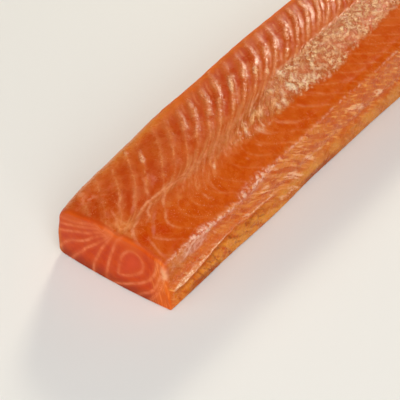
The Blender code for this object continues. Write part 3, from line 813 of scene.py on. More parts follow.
triangles = []
offset = len(P)
for ring_index, far in ((0, False), (R - 1, True)):
    rim, co, tris, origin = cap_net(ring_index, far)
    n = len(rim)
    ids = np.full(len(co), -1)
    new = []
    for i, src in enumerate(origin):
        if src and src[0] < n:
            ids[i] = rim[src[0]]
        else:
            ids[i] = offset + len(new)
            new.append(i)
    q = co[new]
    qx, qz = q[:, 0], q[:, 1]
    qy = cut_y(qx, qz, far)
    nx, nz = far_to_near(qx, qz) if far else (qx, qz)
    ph, sp = cut_phase(nx, nz)
    d = np.abs(ph - np.round(ph)) * sp
    inner = step_up(to_curve(q, PX[ring_index][:, [0, 2]])[0], 0.0, 2.0)
    pc = cols(qx, qz, np.full_like(qx, 90.0 if far else 0.0))
    bump = 0.07 * bell(d, 0.8) + 0.16 * fbm(pc / 9.0, 2, 71) + 0.05 * fbm(pc / 2.5, 2, 72)
    bump *= inner
    qy = qy + (bump if far else -bump)
    verts.append(np.stack([qx, qy, qz], -1))
    k = len(q)
    fill = {name: np.zeros(k) for name in surface}
    fill.update(
        u=qx - 3.0, v=np.full(k, LENGTH if far else 0.0), t_side=np.full(k, -20.0), sp_top=np.full(k, 8.0),
        w_cap=np.ones(k), cord=np.full(k, 9.0), rise=bump, z=qz, sx=nx, ph_cut=ph, sp_cut=sp,
    )
    for name, values in fill.items():
        attributes[name].append(values)
    for t in tris:
        triangles.append([ids[i] for i in t])
    offset += k

V3 = np.concatenate(verts)
V3[:, 0] -= CENTRE_X
V3 *= MM
lo, hi = np.array(cad_box[0]), np.array(cad_box[1])
V3 = np.clip(V3, lo, hi)

# split each quad along its shorter diagonal
q = quads
d1 = np.linalg.norm(V3[q[:, 0]] - V3[q[:, 2]], axis=1)
d2 = np.linalg.norm(V3[q[:, 1]] - V3[q[:, 3]], axis=1)
a = np.where((d1 <= d2)[:, None], q[:, [0, 1, 2]], q[:, [0, 1, 3]])
b = np.where((d1 <= d2)[:, None], q[:, [0, 2, 3]], q[:, [1, 2, 3]])
tri = np.concatenate([a, b, np.array(triangles, int)])

mesh = bpy.data.meshes.new("loin_flesh")
mesh.vertices.add(len(V3))
mesh.vertices.foreach_set("co", V3.astype(np.float32).ravel())
mesh.loops.add(len(tri) * 3)
mesh.loops.foreach_set("vertex_index", tri.astype(np.int32).ravel())
mesh.polygons.add(len(tri))
mesh.polygons.foreach_set("loop_start", np.arange(0, len(tri) * 3, 3, dtype=np.int32))
mesh.update(calc_edges=True)
mesh.validate()

import bmesh

bm = bmesh.new()
bm.from_mesh(mesh)
bmesh.ops.recalc_face_normals(bm, faces=bm.faces[:])
bm.to_mesh(mesh)
bm.free()
for name, parts in attributes.items():
    values = np.concatenate(parts).astype(np.float32)
    mesh.attributes.new(name, "FLOAT", "POINT").data.foreach_set("value", values)
mesh.shade_smooth()
loin = bpy.data.objects.new("loin_flesh", mesh)
bpy.context.scene.collection.objects.link(loin)
print("triangles", len(mesh.polygons), "vertices", len(mesh.vertices))


# --- material ------------------------------------------------------------------------------------
def srgb(r, g, b):
    def lin(c):
        c /= 255.0
        return c / 12.92 if c <= 0.04045 else ((c + 0.055) / 1.055) ** 2.4

    return (lin(r), lin(g), lin(b), 1.0)


class Tree:
    """Short names for the shader nodes used below."""

    def __init__(self, material):
        material.use_nodes = True
        self.t = material.node_tree
        self.t.nodes.clear()

    def new(self, kind):
        return self.t.nodes.new(kind)

    def put(self, socket, value):
        if isinstance(value, bpy.types.NodeSocket):
            self.t.links.new(value, socket)
        else:
            socket.default_value = value

    def attr(self, name):
        n = self.new("ShaderNodeAttribute")
        n.attribute_type = "GEOMETRY"
        n.attribute_name = name
        return n.outputs["Fac"]

    def math(self, op, a, b=0.0, c=0.0, clamp=False):
        n = self.new("ShaderNodeMath")
        n.operation = op
        n.use_clamp = clamp
        self.put(n.inputs[0], a)
        self.put(n.inputs[1], b)
        self.put(n.inputs[2], c)
        return n.outputs[0]

    def add(self, a, b):
        return self.math("ADD", a, b)

    def sub(self, a, b):
        return self.math("SUBTRACT", a, b)

    def mul(self, *a):
        out = a[0]
        for b in a[1:]:
            out = self.math("MULTIPLY", out, b)
        return out

    def inv(self, a):
        return self.math("SUBTRACT", 1.0, a)

    def most(self, a, b):
        return self.math("MAXIMUM", a, b)

    def smooth(self, x, lo, hi, a=0.0, b=1.0):
        n = self.new("ShaderNodeMapRange")
        n.interpolation_type = "SMOOTHSTEP"
        for name, value in (("Value", x), ("From Min", lo), ("From Max", hi), ("To Min", a), ("To Max", b)):
            self.put(n.inputs[name], value)
        return n.outputs[0]

    def mix(self, f, a, b, blend="MIX"):
        n = self.new("ShaderNodeMix")
        n.data_type = "RGBA"
        n.blend_type = blend
        n.clamp_factor = True
        self.put(n.inputs["Factor"], f)
        self.put(n.inputs[6], a)
        self.put(n.inputs[7], b)
        return n.outputs[2]

    def vec(self, x, y, z):
        n = self.new("ShaderNodeCombineXYZ")
        for s, value in zip(n.inputs, (x, y, z)):
            self.put(s, value)
        return n.outputs[0]

    def noise(self, vector, scale, detail=2.0, rough=0.5, twist=0.0):
        n = self.new("ShaderNodeTexNoise")
        self.put(n.inputs["Vector"], vector)
        n.inputs["Scale"].default_value = scale
        n.inputs["Detail"].default_value = detail
        n.inputs["Roughness"].default_value = rough
        n.inputs["Distortion"].default_value = twist
        return n.outputs["Fac"]

    def cells(self, vector, scale, feature="DISTANCE_TO_EDGE"):
        n = self.new("ShaderNodeTexVoronoi")
        n.feature = feature
        self.put(n.inputs["Vector"], vector)
        n.inputs["Scale"].default_value = scale
        return n.outputs["Distance"]


material = bpy.data.materials.new("smoked_salmon_flesh")
T = Tree(material)
coord = T.new("ShaderNodeTexCoord").outputs["Object"]
scale = T.new("ShaderNodeVectorMath")
scale.operation = "SCALE"
T.put(scale.inputs[0], coord)
scale.inputs["Scale"].default_value = 1000.0
pos = scale.outputs[0]  # millimetres

A = {name: T.attr(name) for name in attributes}


def line_distance(phase, space, wander):
    ph = T.add(phase, wander)
    return T.mul(T.math("ABSOLUTE", T.sub(ph, T.math("ROUND", ph))), space)


n_fine = T.noise(pos, 0.9, 3.0, 0.6)
n_mid = T.noise(pos, 0.28, 3.0, 0.55)
n_big = T.noise(pos, 0.085, 3.0, 0.5)
n_speck = T.noise(pos, 1.5, 2.0, 0.6)
n_soft = T.noise(pos, 0.52, 2.0, 0.5)
wander = T.mul(T.sub(n_fine, 0.5), 0.06)

d_top_s = line_distance(A["ph_top"], A["sp_top"], wander)
d_cut_s = line_distance(A["ph_cut"], A["sp_cut"], T.mul(wander, 0.35))

v_far = T.smooth(A["v"], 58.0, 118.0)
w_left = T.mul(T.smooth(A["u"], -1.0, -5.0), T.inv(A["w_wall"]))


def iso(vector, scale, at, half, detail=2.0, twist=0.6):
    """Thin wandering lines: where a noise passes a value."""
    return T.smooth(T.math("ABSOLUTE", T.sub(T.noise(vector, scale, detail, 0.5, twist), at)), half, half * 0.2)


# flesh of the top between the lines
blotch = T.smooth(n_mid, 0.34, 0.66)
patch = T.smooth(n_big, 0.40, 0.62)
col_left = T.mix(blotch, srgb(180, 62, 5), srgb(187, 76, 16))
col_right = T.mix(blotch, srgb(190, 70, 0), srgb(198, 84, 8))
col_top = T.mix(T.smooth(A["u"], -3.0, 8.0), col_left, col_right)
col_top = T.mix(T.mul(patch, 0.40), col_top, srgb(202, 94, 26))
flow = T.noise(T.vec(T.mul(A["ph_top"], 2.2), T.mul(A["u"], 0.22), T.mul(A["v"], 0.02)), 1.0, 3.0, 0.6)
col_top = T.mix(T.mul(T.smooth(flow, 0.50, 0.72), w_left, 0.26), col_top, srgb(206, 108, 56))
col_top = T.mix(T.mul(A["deep"], 0.7), col_top, srgb(186, 46, 0))
mid_dark = T.mul(T.smooth(d_top_s, 1.6, 4.2), w_left, 0.45)
col_top = T.mix(mid_dark, col_top, srgb(182, 60, 6))
# hazy shoulder
haze_tone = T.mix(T.smooth(n_fine, 0.40, 0.62), srgb(202, 94, 14), srgb(214, 122, 58))
haze_tone = T.mix(T.smooth(A["v"], 32.0, 16.0), haze_tone, T.mix(T.smooth(n_soft, 0.40, 0.60), srgb(200, 84, 30), srgb(224, 130, 92)))
col_top = T.mix(T.mul(A["haze"], 0.80), col_top, T.mix(T.smooth(A["v"], 60.0, 84.0), haze_tone, srgb(206, 92, 0)))
# painted warm reflected light along the left edge of the top, near and far
edge_far = T.mul(T.smooth(A["u"], -25.0, -31.0), T.smooth(A["v"], 60.0, 90.0))
painted_edge_glow = T.most(T.mul(T.smooth(A["u"], -27.0, -33.0), T.smooth(A["v"], 3.0, 12.0), T.add(0.45, T.mul(T.smooth(n_mid, 0.36, 0.60), 0.40))), T.mul(edge_far, T.add(0.35, T.mul(T.smooth(n_mid, 0.34, 0.60), 0.50))))
col_top = T.mix(painted_edge_glow, col_top, T.mix(T.smooth(A["v"], 50.0, 88.0), srgb(220, 132, 44), srgb(222, 102, 0)))
shoulder = T.mul(T.smooth(A["u"], -23.0, -29.0), T.smooth(A["v"], 52.0, 40.0), T.add(0.16, T.mul(T.smooth(n_mid, 0.36, 0.60), 0.20)))
col_top = T.mix(shoulder, col_top, srgb(216, 130, 58))
# tan tissue round the seam, in the layers' own direction
bone = T.noise(T.vec(T.mul(A["ph_top"], 3.1), T.mul(A["u"], 0.16), T.mul(A["v"], 0.01)), 1.0, 3.0, 0.6, 0.4)
seam_tone = T.mix(T.smooth(bone, 0.38, 0.62), srgb(184, 82, 28), srgb(200, 120, 68))
seam_tone = T.mix(T.mul(T.smooth(A["v"], 76.0, 92.0), T.smooth(A["u"], -3.0, 1.0), 0.8), seam_tone, T.mix(T.smooth(bone, 0.38, 0.62), srgb(180, 88, 34), srgb(200, 128, 76)))
col_top = T.mix(T.mul(A["seam"], 0.74), col_top, seam_tone)
# fat lines
width = T.add(0.42, T.mul(w_left, v_far, 0.10))
width = T.add(width, T.mul(T.smooth(T.noise(pos, 0.22, 2.0), 0.35, 0.7), T.add(T.mul(w_left, 0.22), T.mul(w_left, v_far, 0.36))))
width = T.add(width, T.mul(A["glint_spots"], 0.35))
amount = T.mul(A["line"], T.add(0.46, T.add(T.mul(w_left, 0.72), T.mul(A["seam"], 0.34))))
amount = T.mul(amount, T.smooth(T.noise(pos, 0.33, 3.0, 0.65), 0.24, 0.58))
reach = T.math("DIVIDE", d_top_s, width)
fringe = T.add(reach, T.mul(T.sub(n_fine, 0.5), T.mul(w_left, v_far, 2.4)))
grain = T.inv(T.mul(w_left, v_far, T.smooth(n_speck, 0.56, 0.40), 0.55))
core = T.mul(T.smooth(fringe, 2.0, 0.2), amount, grain, 0.90)
halo = T.mul(T.smooth(fringe, 4.4, 0.4), amount, T.add(0.20, T.mul(w_left, T.inv(v_far), 0.22)))
band_on = T.mul(w_left, T.smooth(A["v"], 46.0, 88.0), T.smooth(A["line"], 0.10, 0.70))
band_at = T.add(d_top_s, T.add(T.mul(T.sub(n_fine, 0.5), 1.5), T.mul(T.sub(n_soft, 0.5), 1.2)))
col_top = T.mix(T.mul(T.smooth(band_at, 1.7, 3.0), w_left, T.smooth(A["v"], 46.0, 88.0), T.smooth(A["u"], -29.0, -24.0), 0.45), col_top, srgb(180, 50, 0))
col_top = T.mix(T.mul(T.smooth(band_at, 2.5, 0.5), band_on, T.add(0.24, T.mul(T.smooth(n_fine, 0.36, 0.60), 0.38))), col_top, T.mix(T.smooth(n_soft, 0.38, 0.62), srgb(194, 96, 38), srgb(210, 126, 70)))
fat_tone = T.mix(T.smooth(n_fine, 0.36, 0.60), srgb(208, 112, 52), srgb(230, 152, 98))
col_top = T.mix(T.most(core, halo), col_top, fat_tone)
# finer lines between them
d_half = line_distance(T.add(A["ph_top"], 0.5), A["sp_top"], T.add(wander, T.mul(T.sub(n_mid, 0.5), 0.25)))
half_on = T.mul(T.smooth(T.noise(pos, 0.13, 2.0), 0.42, 0.58), T.mul(w_left, T.smooth(A["v"], 40.0, 90.0), T.smooth(A["u"], -30.0, -24.0)))
half_at = T.add(T.math("DIVIDE", d_half, 0.42), T.mul(T.sub(n_fine, 0.5), 2.2))
col_top = T.mix(T.mul(T.smooth(half_at, 2.6, 0.2), half_on, 0.50), col_top, srgb(216, 126, 72))
# bright, wet stretches, broken into beads: painted highlights on the fat lines
bead = T.smooth(n_soft, 0.34, 0.50)
glint_line = T.add(T.smooth(A["glint_spots"], 0.15, 1.00), T.mul(w_left, v_far, T.smooth(T.noise(pos, 0.16, 2.0), 0.44, 0.66), 0.28))
painted_gleam = T.mul(T.smooth(fringe, 2.2, 0.2), glint_line, T.add(0.35, T.mul(bead, 0.65)), T.smooth(n_speck, 0.30, 0.54))
col_top = T.mix(painted_gleam, col_top, srgb(242, 182, 136))
# single cords and lines
cord_at = T.add(A["cord"], T.add(T.mul(T.sub(n_fine, 0.5), 2.0), T.mul(T.sub(n_soft, 0.5), 1.6)))
cord_on = T.mul(A["cord_w"], T.add(0.45, T.mul(T.smooth(T.noise(pos, 0.40, 2.0), 0.36, 0.60), 0.55)))
col_top = T.mix(T.mul(T.smooth(cord_at, 3.4, 0.2), cord_on, 0.34), col_top, srgb(206, 114, 62))
col_top = T.mix(T.mul(T.smooth(cord_at, 1.7, 0.2), cord_on, 0.78), col_top, srgb(228, 148, 104))
bone_line = T.noise(T.vec(T.mul(A["ph_top"], 3.2), T.mul(A["u"], 0.16), 4.0), 1.0, 2.0, 0.6, 0.8)
col_top = T.mix(T.mul(A["beside"], 0.22), col_top, srgb(206, 116, 60))
col_top = T.mix(T.mul(A["beside"], T.smooth(bone_line, 0.50, 0.66), 0.58), col_top, srgb(218, 132, 78))
col_top = T.mix(T.mul(T.smooth(A["mauve"], 0.15, 0.95), 0.60), col_top, srgb(204, 108, 84))
col_top = T.mix(T.mul(T.smooth(T.add(A["ochre_spots"], T.mul(T.sub(n_mid, 0.5), 0.8)), 0.15, 0.95), 0.60), col_top, srgb(214, 128, 66))
# fine veins that branch off
veins = T.most(iso(pos, 0.16, 0.50, 0.014), iso(pos, 0.25, 0.46, 0.014, 3.0))
vein_zone = T.mul(T.smooth(T.noise(pos, 0.07, 2.0), 0.42, 0.60), T.add(0.25, T.mul(T.smooth(T.math("ABSOLUTE", A["u"]), 22.0, 4.0), 0.75)))
col_top = T.mix(T.mul(veins, vein_zone, 0.42), col_top, srgb(214, 126, 78))
# pale, soft swaths beside some lines
swath = T.mul(T.smooth(T.noise(pos, 0.10, 2.0), 0.50, 0.66), T.smooth(reach, 9.0, 1.0), w_left)
col_top = T.mix(T.mul(swath, 0.24), col_top, srgb(208, 118, 66))
# pale flecks of painted wet sparkle
sparkle_zone = T.add(T.mul(w_left, T.smooth(d_top_s, 2.2, 0.3), T.add(0.20, v_far)), T.mul(T.smooth(T.noise(pos, 0.06, 1.0), 0.52, 0.64), 0.7))
painted_sparkle = T.mul(T.smooth(n_speck, 0.63, 0.72), T.add(sparkle_zone, T.mul(A["sparkle_dots"], 0.6)))
col_top = T.mix(T.mul(painted_sparkle, 0.65), col_top, srgb(238, 176, 132))

near_seam_haze = T.mul(T.smooth(A["v"], 46.0, 36.0), T.smooth(T.math("ABSOLUTE", T.sub(A["u"], 3.0)), 6.0, 2.0), T.add(0.04, T.mul(T.smooth(n_soft, 0.38, 0.62), 0.10)))
col_top = T.mix(near_seam_haze, col_top, srgb(212, 130, 80))

# the pad of fat where the seam meets the narrow end
pad = T.mul(T.smooth(A["v"], 12.0, 4.0), T.smooth(T.math("ABSOLUTE", T.add(A["u"], 0.8)), 5.5, 1.5), T.smooth(n_mid, 0.26, 0.50))
col_top = T.mix(T.mul(pad, 0.80), col_top, T.mix(T.smooth(n_soft, 0.38, 0.60), srgb(204, 104, 40), srgb(222, 138, 82)))

# wet, wrinkled membrane: painted shade between its folds, painted highlights on its lit crests and cream spots
warp = T.mul(T.sub(n_soft, 0.5), 2.6)
folds_near = T.noise(T.vec(T.add(T.mul(A["ph_top"], 2.7), T.mul(warp, 0.12)), T.mul(A["u"], 0.22), 0.0), 1.0, 2.0, 0.55, 0.5)
across = T.add(T.mul(A["v"], 0.66), T.mul(A["u"], 0.76))
along = T.sub(T.mul(A["u"], 0.76), T.mul(A["v"], 0.65))
folds_far = T.noise(T.vec(T.add(T.mul(across, 0.52), T.mul(warp, 0.12)), T.mul(along, 0.30), T.mul(n_mid, 0.5)), 1.0, 3.0, 0.62, 0.25)
far_mix = T.smooth(A["v"], 98.0, 114.0)
folds = T.add(T.mul(folds_near, T.inv(far_mix)), T.mul(folds_far, far_mix))
crest = T.smooth(folds, 0.36, 0.66)
wet = T.smooth(T.noise(pos, 0.15, 3.0, 0.6), 0.40, 0.57)
far_lit = T.smooth(A["v"], 107.0, 121.0)
lit = T.mul(T.smooth(T.add(folds, T.mul(T.sub(n_fine, 0.5), T.add(0.42, T.mul(far_mix, 0.30)))), 0.44, 0.68), T.add(T.add(0.22, T.mul(far_lit, 0.12)), T.mul(wet, T.add(0.68, T.mul(far_lit, 0.36)))))
far_pale = T.smooth(A["v"], 121.0, 131.0)
lit = T.most(lit, T.mul(far_pale, T.smooth(n_soft, 0.34, 0.56), T.smooth(folds, 0.38, 0.60), 0.50))
membrane = T.smooth(T.add(A["wrinkle"], T.mul(T.sub(n_soft, 0.5), T.mul(T.smooth(A["wrinkle"], 0.0, 0.4), 0.9))), 0.05, 0.95)
col_top = T.mix(T.mul(membrane, 0.88), col_top, T.mix(crest, srgb(180, 80, 18), T.mix(wet, srgb(196, 108, 42), srgb(206, 132, 70))))
col_top = T.mix(T.mul(membrane, lit, 0.90), col_top, T.mix(far_lit, srgb(234, 166, 112), srgb(248, 200, 154)))
col_top = T.mix(T.mul(T.smooth(A["cream_glints"], 0.05, 0.95), T.smooth(T.add(folds, T.mul(T.sub(n_fine, 0.5), 0.60)), 0.30, 0.54), 0.92), col_top, srgb(252, 216, 180))

# trimmed side
side_fibre = T.noise(T.vec(T.mul(A["fib"], 0.44), T.mul(A["run_on"], 0.060), 0.0), 1.0, 3.0, 0.52, 0.3)
side_thin = T.noise(T.vec(T.mul(A["fib"], 0.95), T.mul(A["run_on"], 0.12), 3.0), 1.0, 2.0, 0.5, 0.3)
side_broad = T.noise(T.vec(T.mul(A["fib"], 0.20), T.mul(A["run_on"], 0.06), 7.0), 1.0, 2.0, 0.5)
upper_near = T.mul(T.smooth(A["v"], 62.0, 30.0), T.smooth(A["t_side"], 17.0, 13.0))
col_side = T.mix(T.smooth(side_fibre, 0.42, 0.58), srgb(194, 80, 0), srgb(218, 124, 46))
col_side = T.mix(T.mul(T.smooth(side_thin, 0.53, 0.64), T.smooth(side_fibre, 0.36, 0.54), 0.80), col_side, srgb(240, 166, 108))
col_side = T.mix(T.mul(T.smooth(side_broad, 0.42, 0.62), 0.35), col_side, srgb(218, 130, 60))
col_side = T.mix(T.mul(upper_near, 0.70), col_side, T.mix(T.smooth(side_broad, 0.40, 0.60), srgb(204, 88, 0), srgb(214, 106, 18)))
low_near = T.mul(T.smooth(A["v"], 76.0, 56.0), T.smooth(A["t_side"], 10.0, 14.0))
col_side = T.mix(T.mul(low_near, T.smooth(side_thin, 0.62, 0.46), 0.70), col_side, srgb(214, 96, 0))
side_far = T.smooth(A["v"], 96.0, 124.0)
col_side = T.mix(T.mul(side_far, T.smooth(side_thin, 0.62, 0.46), 0.65), col_side, srgb(204, 92, 0))
side_warm = T.add(T.mul(side_far, 0.60), T.mul(T.smooth(A["v"], 90.0, 64.0), T.smooth(A["t_side"], 6.0, 12.0), 0.75))
col_side = T.mix(side_warm, col_side, T.mix(1.0, col_side, (1.0, 0.90, 0.42, 1.0), "MULTIPLY"))
# ochre tone low on the side, partly painted warm reflected light
ochre_tone = T.mix(T.smooth(side_broad, 0.36, 0.64), srgb(196, 100, 6), srgb(220, 144, 56))
ochre_tone = T.mix(T.mul(T.smooth(n_soft, 0.44, 0.64), 0.4), ochre_tone, srgb(214, 132, 44))
col_side = T.mix(T.mul(A["ochre"], 0.78), col_side, ochre_tone)
# pale streaks on the side: partly pale fibres, partly painted highlights
pale = T.smooth(T.add(A["pale"], T.add(T.mul(T.sub(T.add(side_fibre, side_thin), 1.0), 3.0), T.mul(T.sub(n_fine, 0.5), 0.9))), 0.25, 1.10)
pale = T.mul(pale, T.smooth(A["pale"], 0.05, 0.30))
col_side = T.mix(T.mul(pale, 0.90), col_side, srgb(246, 184, 142))
col_side = T.mix(T.mul(A["beads"], T.smooth(n_soft, 0.40, 0.60), 0.50), col_side, srgb(236, 160, 100))
foot_tone = T.mix(T.smooth(T.add(side_broad, T.mul(T.sub(n_soft, 0.5), 0.3)), 0.38, 0.58), srgb(198, 88, 0), srgb(224, 138, 46))
pits = T.smooth(T.noise(T.vec(T.mul(A["fib"], 0.42), T.mul(A["run_on"], 0.16), 11.0), 1.0, 3.0, 0.6, 0.6), 0.44, 0.34)
foot_tone = T.mix(T.mul(T.smooth(T.noise(T.vec(T.mul(A["fib"], 0.26), T.mul(A["run_on"], 0.12), 5.0), 1.0, 3.0, 0.6, 0.4), 0.50, 0.62), 0.60), foot_tone, srgb(182, 78, 0))
foot_tone = T.mix(T.mul(T.smooth(side_fibre, 0.48, 0.62), 0.45), foot_tone, srgb(232, 156, 76))
# painted shade in the foot's crevices and pits; painted highlights on its crests and in small specks
foot_tone = T.mix(T.mul(T.most(T.mul(T.smooth(A["crest"], 0.25, -0.25), 0.5), pits), 0.40), foot_tone, srgb(160, 56, 0))
foot_tone = T.mix(T.mul(T.smooth(A["crest"], 0.45, 0.90), 0.45), foot_tone, srgb(236, 162, 80))
foot_tone = T.mix(T.mul(T.smooth(n_speck, 0.58, 0.72), 0.30), foot_tone, srgb(240, 174, 110))
# painted warm reflected light: the foot is tinted amber
foot_tone = T.mix(0.6, foot_tone, T.mix(1.0, foot_tone, (0.99, 0.94, 0.45, 1.0), "MULTIPLY"))
foot_mid = T.mul(T.smooth(T.math("ABSOLUTE", T.sub(A["v"], 55.0)), 15.0, 8.0), 0.8)
foot_tone = T.mix(foot_mid, foot_tone, T.mix(1.0, foot_tone, (0.90, 0.84, 0.90, 1.0), "MULTIPLY"))
col_side = T.mix(T.mul(A["foot"], 0.90), col_side, foot_tone)
low_end = T.mul(T.smooth(A["v"], 30.0, 18.0), T.smooth(A["t_side"], 19.0, 23.0))
col_side = T.mix(T.mul(low_end, 0.30), col_side, srgb(232, 118, 0))
low_mid = T.mul(T.smooth(T.math("ABSOLUTE", T.sub(A["v"], 44.0)), 26.0, 14.0), T.smooth(T.math("ABSOLUTE", T.sub(A["t_side"], 15.0)), 5.0, 2.0))
col_side = T.mix(T.mul(low_mid, 0.26), col_side, srgb(224, 110, 0))
low_far = T.mul(T.smooth(T.math("ABSOLUTE", T.sub(A["v"], 110.0)), 8.0, 3.0), T.smooth(A["t_side"], 14.0, 18.0))
col_side = T.mix(T.mul(low_far, 0.34), col_side, srgb(230, 148, 66))
far_ridge = T.mul(T.smooth(A["v"], 106.0, 116.0), T.smooth(A["t_side"], 14.0, 9.0), T.smooth(A["t_side"], 3.0, 6.0))
col_side = T.mix(T.mul(far_ridge, 0.55), col_side, T.mix(1.0, col_side, (1.0, 0.96, 0.55, 1.0), "MULTIPLY"))
# painted shade under the fold's lip
col_side = T.mix(T.mul(A["under_lip_shade"], 0.55), col_side, srgb(166, 66, 4))
# painted highlight on the fold's lip and its barbs
barbs = T.mul(A["barbs"], T.smooth(T.add(side_fibre, T.mul(side_thin, 0.5)), 0.70, 0.90))
col_side = T.mix(T.mul(T.most(T.smooth(A["lip_highlight"], 0.05, 0.80), T.mul(barbs, 0.5)), 0.96), col_side, T.mix(T.mul(T.smooth(n_soft, 0.34, 0.54), T.smooth(T.cells(pos, 0.8), 0.0, 0.16)), srgb(222, 138, 88), srgb(254, 210, 174)))
col_side = T.mix(T.mul(A["shade"], 0.80), col_side, srgb(146, 50, 0))

body = T.mix(A["w_side"], col_top, col_side)
ridge_near = T.mul(T.smooth(A["v"], 24.0, 12.0), T.smooth(T.math("ABSOLUTE", T.sub(A["t_side"], 5.0)), 7.0, 3.0))
beside_rope = T.mul(T.smooth(T.math("ABSOLUTE", T.sub(A["v"], 50.0)), 34.0, 24.0), T.smooth(T.math("ABSOLUTE", T.sub(A["t_side"], 4.8)), 3.4, 1.2))
body = T.mix(T.mul(beside_rope, T.add(0.22, T.mul(T.smooth(n_mid, 0.38, 0.60), 0.24))), body, srgb(198, 76, 0))
body = T.mix(T.mul(ridge_near, 0.7), body, T.mix(1.0, body, (0.84, 0.90, 1.0, 1.0), "MULTIPLY"))

# ribbed fat along the ridge; the whitish streaks on the clear tissue and the lightest tops of the rope's beads are
# partly painted highlights
body = T.mix(T.mul(A["clear"], T.add(0.50, T.mul(T.smooth(n_mid, 0.35, 0.6), 0.4))), body, T.mix(T.smooth(n_soft, 0.36, 0.62), srgb(198, 116, 84), srgb(228, 168, 144)))
streak = T.smooth(T.noise(T.vec(T.mul(A["t_side"], 0.55), T.mul(A["v"], 0.16), 0.0), 1.0, 3.0, 0.6, 0.5), 0.52, 0.66)
body = T.mix(T.mul(A["clear"], streak, T.smooth(A["t_side"], 8.0, 4.0), 0.60), body, srgb(240, 186, 160))
rope_tone = T.mix(T.smooth(n_soft, 0.36, 0.56), srgb(206, 112, 82), srgb(246, 192, 166))
rope_cells = T.smooth(T.cells(T.vec(T.mul(A["fib"], 0.5), T.mul(A["run_on"], 0.30), T.mul(warp, 0.3)), 1.0), 0.02, 0.22)
body = T.mix(T.mul(T.smooth(T.mul(A["rope"], T.add(0.50, T.mul(T.smooth(n_soft, 0.30, 0.60), 0.45)), T.add(0.58, T.mul(rope_cells, 0.42))), 0.0, 0.78), 0.94), body, rope_tone)

# back wall and underside
wall_grain = T.noise(T.vec(T.mul(A["ph_top"], 2.4), T.mul(A["t_wall"], 0.10), 0.0), 1.0, 3.0, 0.6, 0.4)
wall_flesh = T.mix(blotch, srgb(192, 74, 12), srgb(204, 94, 30))
wall_flesh = T.mix(T.mul(T.smooth(wall_grain, 0.46, 0.70), 0.50), wall_flesh, srgb(214, 122, 66))
wall_flesh = T.mix(T.mul(T.smooth(A["z"], 9.0, 0.0), 0.45), wall_flesh, srgb(186, 96, 46))
wall_line = T.mul(T.smooth(T.add(d_top_s, T.mul(T.sub(n_fine, 0.5), 1.2)), 1.5, 0.1), T.smooth(T.noise(pos, 0.09, 3.0), 0.26, 0.56), 0.62)
wall_col = T.mix(wall_line, wall_flesh, srgb(222, 138, 86))
# painted warm reflected light on the wall's top strip
wall_col = T.mix(T.mul(T.smooth(T.add(A["t_wall"], T.mul(T.sub(n_mid, 0.5), 14.0)), 8.0, 0.0), T.add(0.45, T.mul(T.smooth(n_soft, 0.36, 0.60), 0.30))), wall_col, T.mix(T.smooth(A["v"], 50.0, 88.0), srgb(216, 112, 24), srgb(222, 98, 0)))
body = T.mix(A["w_wall"], body, wall_col)
skin_side = T.mix(T.smooth(n_mid, 0.35, 0.65), srgb(188, 88, 34), srgb(206, 122, 70))
skin_side = T.mix(T.mul(T.smooth(T.add(d_top_s, T.mul(T.sub(n_fine, 0.5), 1.2)), 1.4, 0.1), 0.5), skin_side, srgb(222, 146, 98))
body = T.mix(A["w_base"], body, skin_side)

# cut ends
cut_flesh = T.mix(blotch, srgb(192, 54, 0), srgb(202, 68, 0))
near_seam = T.smooth(T.math("ABSOLUTE", T.sub(A["sx"], 8.0)), 15.0, 5.0)
cut_flesh = T.mix(T.mul(T.smooth(A["z"], 23.0, 31.0), T.add(0.35, T.mul(near_seam, 0.65))), cut_flesh, srgb(214, 88, 18))
cut_flesh = T.mix(T.smooth(A["ph_cut"], 0.1, -0.4), cut_flesh, srgb(210, 72, 32))
cut_flesh = T.mix(T.mul(T.smooth(A["z"], 18.0, 28.0), T.smooth(A["sx"], -6.0, -18.0), 0.50), cut_flesh, srgb(206, 88, 0))
# painted shade: the cut darkens towards the board
cut_flesh = T.mix(T.mul(T.smooth(A["z"], 9.5, 0.0), 0.72), cut_flesh, srgb(130, 40, 0))
# painted warm reflected light on the cut's left edge
cut_flesh = T.mix(T.mul(T.smooth(A["sx"], -23.5, -27.5), 0.7), cut_flesh, srgb(208, 122, 44))
edge_orange = T.smooth(A["sx"], 22.5, 27.5)
cut_flesh = T.mix(edge_orange, cut_flesh, srgb(214, 90, 0))
strand_cut = T.noise(T.vec(T.mul(A["ph_cut"], 3.4), T.mul(A["sx"], 0.05), T.mul(A["z"], 0.05)), 1.0, 3.0, 0.6, 0.4)
cut_line = T.mul(T.smooth(d_cut_s, 1.10, 0.10), T.smooth(T.noise(pos, 0.10, 2.0), 0.20, 0.56))
cut_halo = T.mul(T.smooth(d_cut_s, 2.4, 0.3), 0.20)
cut_col = T.mix(cut_halo, cut_flesh, srgb(226, 116, 62))
cut_col = T.mix(T.mul(cut_line, T.add(0.30, T.mul(T.smooth(n_big, 0.42, 0.60), 0.24))), cut_col, T.mix(T.smooth(n_mid, 0.36, 0.62), srgb(222, 112, 52), srgb(238, 146, 98)))
cut_col = T.mix(T.mul(T.smooth(strand_cut, 0.50, 0.70), 0.18), cut_col, srgb(210, 84, 26))
strand = T.noise(T.vec(T.add(T.mul(A["sx"], 0.95), T.mul(A["z"], 0.16)), T.mul(A["z"], 0.10), 0.0), 1.0, 3.0, 0.6)
cut_col = T.mix(T.mul(T.smooth(A["sx"], 21.0, 25.5), T.smooth(strand, 0.48, 0.66), 0.55), cut_col, srgb(240, 142, 70))
corner = T.mul(T.smooth(A["sx"], 26.5, 29.0), T.smooth(T.math("ABSOLUTE", T.sub(A["z"], 21.5)), 5.0, 1.5), T.smooth(n_mid, 0.30, 0.55))
cut_col = T.mix(T.mul(corner, 0.75), cut_col, srgb(236, 172, 128))
body = T.mix(A["w_cap"], body, cut_col)
rim = T.mul(A["w_cap"], T.inv(A["w_cap"]), T.smooth(A["z"], 16.0, 24.0))
body = T.mix(T.mul(rim, 2.0), body, srgb(184, 62, 4))

